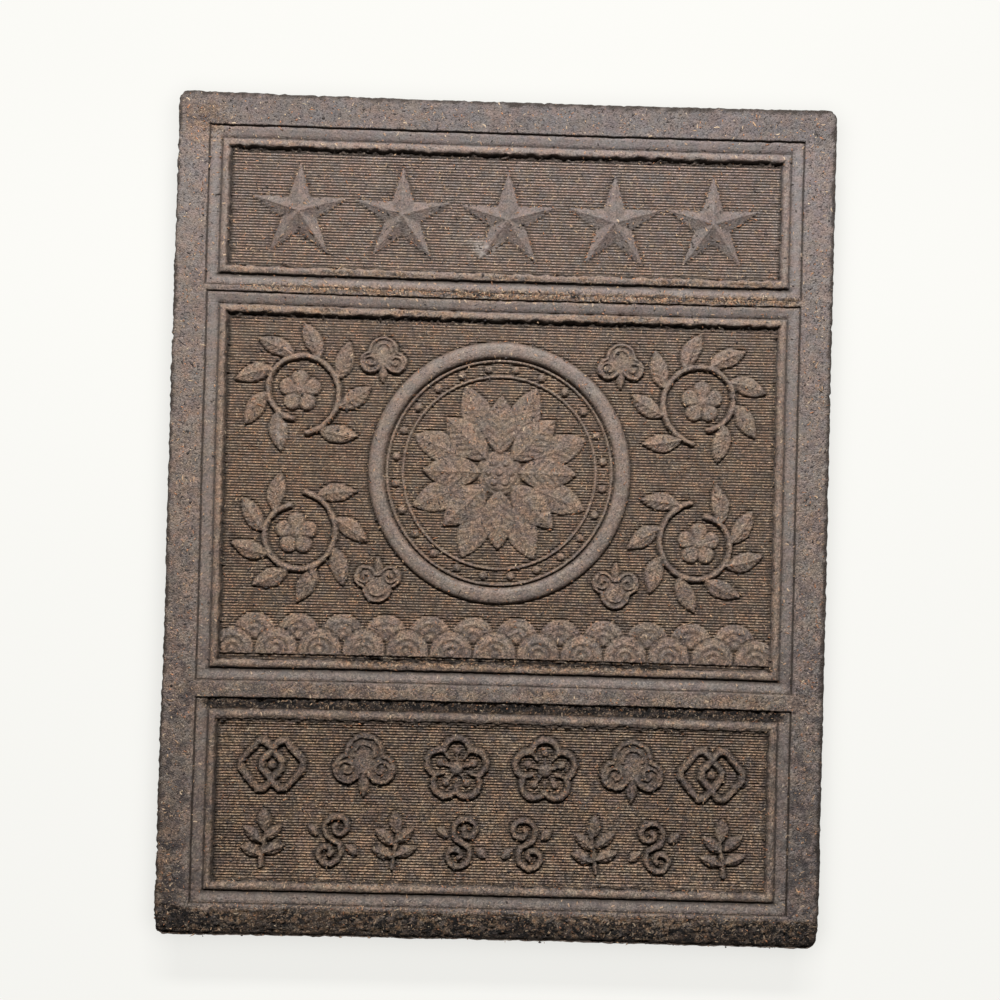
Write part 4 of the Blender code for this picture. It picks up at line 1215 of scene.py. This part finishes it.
def tea_material():
    k = Nodes("pressed_tea_surface")
    smooth, loose, groove_shade = k.attr("smooth_press"), k.attr("loose"), k.attr("groove_shade")
    warmth, dark, scuff = k.attr("warm"), k.attr("dark"), k.attr("scuff")
    where = k.t.nodes.new("ShaderNodeSeparateXYZ")
    k.link(k.mm, where.inputs[0])
    along = where.outputs[1]
    # patches of browner and bluer tea, 5 to 20 mm across, and mottling of a few millimetres
    patch = k.range(k.noise(0.075, 4.0, 0.6), 0.35, 0.65)
    mott = k.range(k.noise(0.27, 4.0, 0.62, offset=(40.0, 7.0, 3.0)), 0.36, 0.66)
    fine = k.noise(2.1, 3.0, 0.7, offset=(3.0, 90.0, 1.0))
    base = k.mix(patch, (0.177, 0.145, 0.126), (0.169, 0.146, 0.135))
    pressed = k.mix(k.range(along, 30.0, 95.0), (0.242, 0.166, 0.110), (0.243, 0.177, 0.134))
    pressed = k.mix(k.range(along, -40.0, -60.0), pressed, (0.196, 0.135, 0.087))
    pressed = k.mix(k.range(along, -86.0, -100.0), pressed, (0.238, 0.167, 0.110))
    # painted highlight: the crests of the bare ribs, away from the painted shade, are lightened and greyed
    painted_crest_highlight = k.math("MULTIPLY", k.range(warmth, 0.90, 0.95), k.range(groove_shade, 0.25, 0.0, 0.0, 0.50))
    pressed = k.mix(painted_crest_highlight, pressed, k.mix(1.0, pressed, (1.84, 1.88, 1.99), "MULTIPLY"))
    base = k.mix(warmth, base, pressed)
    base = k.mix(k.math("MULTIPLY", mott, k.range(along, 95.0, -70.0, 0.34, 0.66)), base, (0.095, 0.078, 0.078))
    plain = k.math("MULTIPLY", k.range(smooth, 0.35, 0.95), k.math("SUBTRACT", 0.70, k.math("MULTIPLY", warmth, 0.50)))
    base = k.mix(plain, base, (0.118, 0.099, 0.089))
    # painted sheen: the colour turns a little bluer-grey towards the head, where the window's reflection greys it
    base = k.mix(k.range(along, 0.0, 110.0), base, k.mix(1.0, base, (0.99, 1.03, 1.12), "MULTIPLY"))
    # hue drifts between rust and slate over a millimetre or two
    hue = k.range(k.noise(0.50, 1.0, 0.5, offset=(70.0, 20.0, 9.0)), 0.34, 0.66)
    much = k.math("SUBTRACT", 0.85, k.math("MULTIPLY", smooth, 0.45))
    base = k.mix(much, base, k.mix(1.0, base, k.mix(hue, k.mix(k.range(loose, 0.4, 0.9), (0.94, 0.99, 1.05), (0.80, 0.92, 1.08)), k.mix(k.range(loose, 0.4, 0.9), (1.08, 1.01, 0.93), (1.30, 1.08, 0.80))), "MULTIPLY"))
    # the right-hand side lies a little cooler, and the upper half is painted a little darker towards the head
    base = k.mix(1.0, base, k.mix(k.range(where.outputs[0], -95.0, 60.0), (1.0, 0.962, 0.935), (1.0, 0.995, 1.01)), "MULTIPLY")
    base = k.mix(k.range(along, -10.0, 60.0, 0.0, 0.055), base, (0.0, 0.0, 0.0))
    drift = k.range(k.noise(0.21, 3.0, 0.6, offset=(12.0, 61.0, 3.0)), 0.36, 0.64)
    base = k.mix(0.8, base, k.mix(1.0, base, k.mix(drift, (0.95, 1.01, 1.00), (1.07, 0.985, 0.96)), "MULTIPLY"))
    # single grains
    cells = k.split(k.voronoi(2.5))
    tone = k.range(cells[0], 0.0, 1.0, 0.42, 1.58)
    contrast = k.math("MULTIPLY", k.math("SUBTRACT", 1.05, k.math("MULTIPLY", smooth, 0.45)), k.range(along, -85.0, 95.0, 1.30, 0.50))
    contrast = k.math("MULTIPLY", contrast, k.range(k.math("MAXIMUM", warmth, loose), 0.30, 0.60, 0.70, 0.82))
    tone = k.math("ADD", 1.0, k.math("MULTIPLY", k.math("SUBTRACT", tone, 1.0), contrast))
    tone = k.math("MULTIPLY", tone, k.math("ADD", 1.0, k.math("MULTIPLY", k.range(fine, 0.25, 0.75, -1.0, 1.0), k.range(warmth, 0.30, 0.90, 0.22, 0.40))))
    base = k.mix(1.0, base, k.ramp(k.math("MULTIPLY", tone, 0.5), [(0.0, 0.0), (1.0, 1.0)]), "MULTIPLY")
    base = k.mix(1.0, base, (2.0, 2.0, 2.0), "MULTIPLY")
    # the dark attribute: blue-black blotches, with painted shade over the foot border and the lower panel's top band
    base = k.mix(k.math("MULTIPLY", dark, 0.86), base, k.mix(loose, (0.025, 0.022, 0.025), (0.027, 0.020, 0.018)))
    # warm grains and slivers, more of them where the tea lies loose
    warm = k.math("MULTIPLY", k.range(cells[1], 0.87, 0.90), k.range(loose, 0.12, 0.80, 0.05, 0.75))
    base = k.mix(warm, base, (0.285, 0.205, 0.140))
    black = k.math("MULTIPLY", k.range(cells[2], 0.84, 0.90), k.math("SUBTRACT", 0.75, k.math("MULTIPLY", k.math("MAXIMUM", smooth, warmth), 0.45)))
    base = k.mix(black, base, (0.022, 0.019, 0.022))
    # painted shade: black in the hollows between the coarse crumbs of the foot; and the top border painted darker
    holes = k.range(k.noise(0.62, 5.0, 0.75, offset=(5.0, 33.0, 8.0)), 0.49, 0.53)
    base = k.mix(k.math("MULTIPLY", holes, k.math("ADD", k.range(loose, 0.60, 0.90, 0.0, 0.42), k.range(loose, 0.86, 0.97, 0.0, 0.56))), base, (0.005, 0.004, 0.004))
    head = k.range(along, 108.5, 111.0, 0.0, 0.22)
    base = k.mix(head, base, (0.012, 0.010, 0.010))
    # painted shade in the creases and rib valleys and under the beads
    base = k.mix(k.math("MULTIPLY", groove_shade, 0.92), base, (0.020, 0.014, 0.010))
    m1, r1 = slivers(k, 1.25, (11.0, 5.0, 2.0), 0.26, 0.16, 0.40, 0.20, loose, 0.02)
    m2, r2 = slivers(k, 0.62, (31.0, 8.0, 4.0), 0.50, 0.22, 0.70, 0.34, loose, 0.06)
    tint1 = k.ramp(r1, [(0.0, (0.23, 0.155, 0.105)), (0.5, (0.29, 0.215, 0.155)), (1.0, (0.40, 0.325, 0.25))])
    tint2 = k.ramp(r2, [(0.0, (0.28, 0.145, 0.08)), (0.5, (0.36, 0.23, 0.145)), (1.0, (0.50, 0.385, 0.27))])
    shade = k.math("SUBTRACT", 1.0, k.math("MULTIPLY", groove_shade, 0.6))
    base = k.mix(k.math("MULTIPLY", m1, k.math("MULTIPLY", shade, 0.85)), base, tint1)
    base = k.mix(k.math("MULTIPLY", m2, k.math("MULTIPLY", shade, 0.85)), base, tint2)
    base = k.mix(k.math("MULTIPLY", scuff, 0.55), base, (0.42, 0.38, 0.35))
    k.link(base, k.bsdf.inputs["Base Color"])
    rough = k.math("ADD", 0.62, k.math("MULTIPLY", loose, 0.20))
    rough = k.math("SUBTRACT", rough, k.math("MULTIPLY", smooth, 0.14))
    k.link(k.math("ADD", rough, k.range(fine, 0.3, 0.7, -0.05, 0.05)), k.bsdf.inputs["Roughness"])
    k.bsdf.inputs["Specular IOR Level"].default_value = 0.36
    # grain relief
    g1 = k.voronoi(2.5, out="Distance")
    g2 = k.noise(3.4, 3.0, 0.7, offset=(17.0, 5.0, 60.0))
    amount = k.math("SUBTRACT", 1.15, k.math("MULTIPLY", smooth, 0.88))
    height = k.math("MULTIPLY", k.math("SUBTRACT", k.math("MULTIPLY", g2, 1.4), g1), amount)
    height = k.math("SUBTRACT", height, k.math("MULTIPLY", holes, k.range(loose, 0.55, 0.85, 0.0, 1.2)))
    height = k.math("ADD", height, k.math("MULTIPLY", k.math("ADD", m1, m2), 0.35))
    k.link(k.bump(height, 0.00026, 1.0), k.bsdf.inputs["Normal"])
    return k.mat


def fleck_material(name, a, b, rough):
    k = Nodes(name)
    f = k.range(k.noise(0.9, 3.0, 0.6), 0.3, 0.7)
    g = k.range(k.noise(1.3, 3.0, 0.7, offset=(9.0, 2.0, 4.0)), 0.32, 0.68, 0.35, 1.25)
    base = k.mix(f, a, b)
    base = k.mix(1.0, base, k.ramp(k.math("MULTIPLY", g, 0.5), [(0.0, 0.0), (1.0, 1.0)]), "MULTIPLY")
    base = k.mix(1.0, base, (2.0, 2.0, 2.0), "MULTIPLY")
    k.link(base, k.bsdf.inputs["Base Color"])
    k.bsdf.inputs["Roughness"].default_value = rough
    k.link(k.bump(k.noise(5.0, 2.0, 0.6), 0.00006, 0.7), k.bsdf.inputs["Normal"])
    return k.mat


def floor_material():
    k = Nodes("white_table")
    v = k.range(k.noise(0.004, 2.0, 0.5), 0.3, 0.7)
    k.link(k.mix(v, (0.070, 0.070, 0.068), (0.074, 0.074, 0.072)), k.bsdf.inputs["Base Color"])
    # painted shadow: the table's glow is darkened close round the brick, and painted shade darkens it a little towards
    # the head of the scene
    at = k.t.nodes.new("ShaderNodeSeparateXYZ")
    k.link(k.mm, at.inputs[0])
    away = []
    for axis, half in ((0, W / 2), (1, L / 2)):
        away.append(k.math("MAXIMUM", k.math("SUBTRACT", k.math("ABSOLUTE", at.outputs[axis]), half), 0.0))
    near = k.math("SQRT", k.math("ADD", k.math("MULTIPLY", away[0], away[0]), k.math("MULTIPLY", away[1], away[1])))
    near = k.range(near, 0.0, 17.0, 1.0, 0.0)
    dull = k.math("ADD", k.math("MULTIPLY", k.math("MULTIPLY", near, near), 0.24), k.range(at.outputs[1], 60.0, 150.0, 0.0, 0.03))
    k.link(k.mix(dull, (1.0, 0.995, 0.958), (0.0, 0.0, 0.0)), k.bsdf.inputs["Emission Color"])
    k.bsdf.inputs["Roughness"].default_value = 0.9
    k.bsdf.inputs["Specular IOR Level"].default_value = 0.1
    k.bsdf.inputs["Emission Strength"].default_value = 0.84
    return k.mat


# --------------------------------------------------------------------- build
tea = tea_material()
plates = build_plates()
body, body_grid = body_object()
body.data.materials.append(tea)
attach(body, "root")
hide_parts("tea_brick")
total = {"tea_brick_body": len(body.data.polygons)}
for name, p in plates.items():
    ob = plate_object(p, name, T - 4.2)
    ob.data.materials.append(tea)
    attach(ob, "root")
    total[name] = sum(len(q.vertices) - 2 for q in ob.data.polygons)

# more slivers than the even scatter: on the ridge and lower lines, on the borders, on each star's edge
EXTRA = {
    "stalk_flecks_tan": (460, 260, 22),
    "stalk_flecks_orange": (220, 330, 30),
    "stalk_flecks_pale": (170, 90, 4),
    "leaf_grains_dark": (260, 420, 34),
}
for name, count, seed, ln, wd, th, sides, cols in (
    ("stalk_flecks_tan", 2600, 101, 0.95, 0.27, 0.15, 300, ((0.43, 0.285, 0.175), (0.29, 0.18, 0.105))),
    ("stalk_flecks_orange", 1900, 202, 0.88, 0.26, 0.15, 240, ((0.40, 0.18, 0.088), (0.27, 0.125, 0.065))),
    ("stalk_flecks_pale", 420, 303, 0.80, 0.22, 0.15, 70, ((0.55, 0.44, 0.31), (0.42, 0.31, 0.20))),
    ("leaf_grains_dark", 3000, 404, 0.85, 0.42, 0.20, 320, ((0.035, 0.028, 0.028), (0.060, 0.045, 0.038))),
):
    ob = flecks(name, count, seed, ln, wd, th, plates, body_grid, sides, *EXTRA[name])
    ob.data.materials.append(fleck_material(name + "_mat", *cols, 0.7))
    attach(ob, "root")
    total[name] = len(ob.data.polygons)
print("faces", total)

# --------------------------------------------------------------------- stage
bpy.ops.mesh.primitive_plane_add(size=4.0, location=(0, 0, 0))
floor = bpy.context.object
floor.name = "floor"
floor.data.materials.append(floor_material())


def area(name, loc, size, power, colour, target=(0, 0, 0.01)):
    data = bpy.data.lights.new(name, "AREA")
    data.shape = "RECTANGLE"
    data.size, data.size_y = size
    data.energy = power
    data.color = colour
    ob = bpy.data.objects.new(name, data)
    bpy.context.scene.collection.objects.link(ob)
    ob.location = loc
    ob.rotation_euler = (Vector(loc) - Vector(target)).to_track_quat("Z", "Y").to_euler()
    return ob


area("window", (0.0, 0.43, 0.54), (0.30, 0.07), 9.4, (1.0, 0.985, 0.965))

world = bpy.data.worlds.new("studio")
bpy.context.scene.world = world
world.use_nodes = True
bg = world.node_tree.nodes["Background"]
bg.inputs[0].default_value = (1.0, 0.995, 0.985, 1.0)
bg.inputs[1].default_value = 0.06

cam_data = bpy.data.cameras.new("camera")
cam_data.sensor_width = 36.0
cam_data.lens = 43.2
cam_data.clip_start, cam_data.clip_end = 0.01, 10.0
cam = bpy.data.objects.new("camera", cam_data)
bpy.context.scene.collection.objects.link(cam)
cam.location = (-0.0038, 0.0005, 0.022 + 0.3382)
cam.rotation_euler = Euler((math.radians(0.83), math.radians(-0.71), math.radians(1.58)), "XYZ")
bpy.context.scene.camera = cam

scene = bpy.context.scene
scene.view_settings.view_transform = "Standard"
scene.view_settings.look = "None"
scene.view_settings.exposure = 0.0
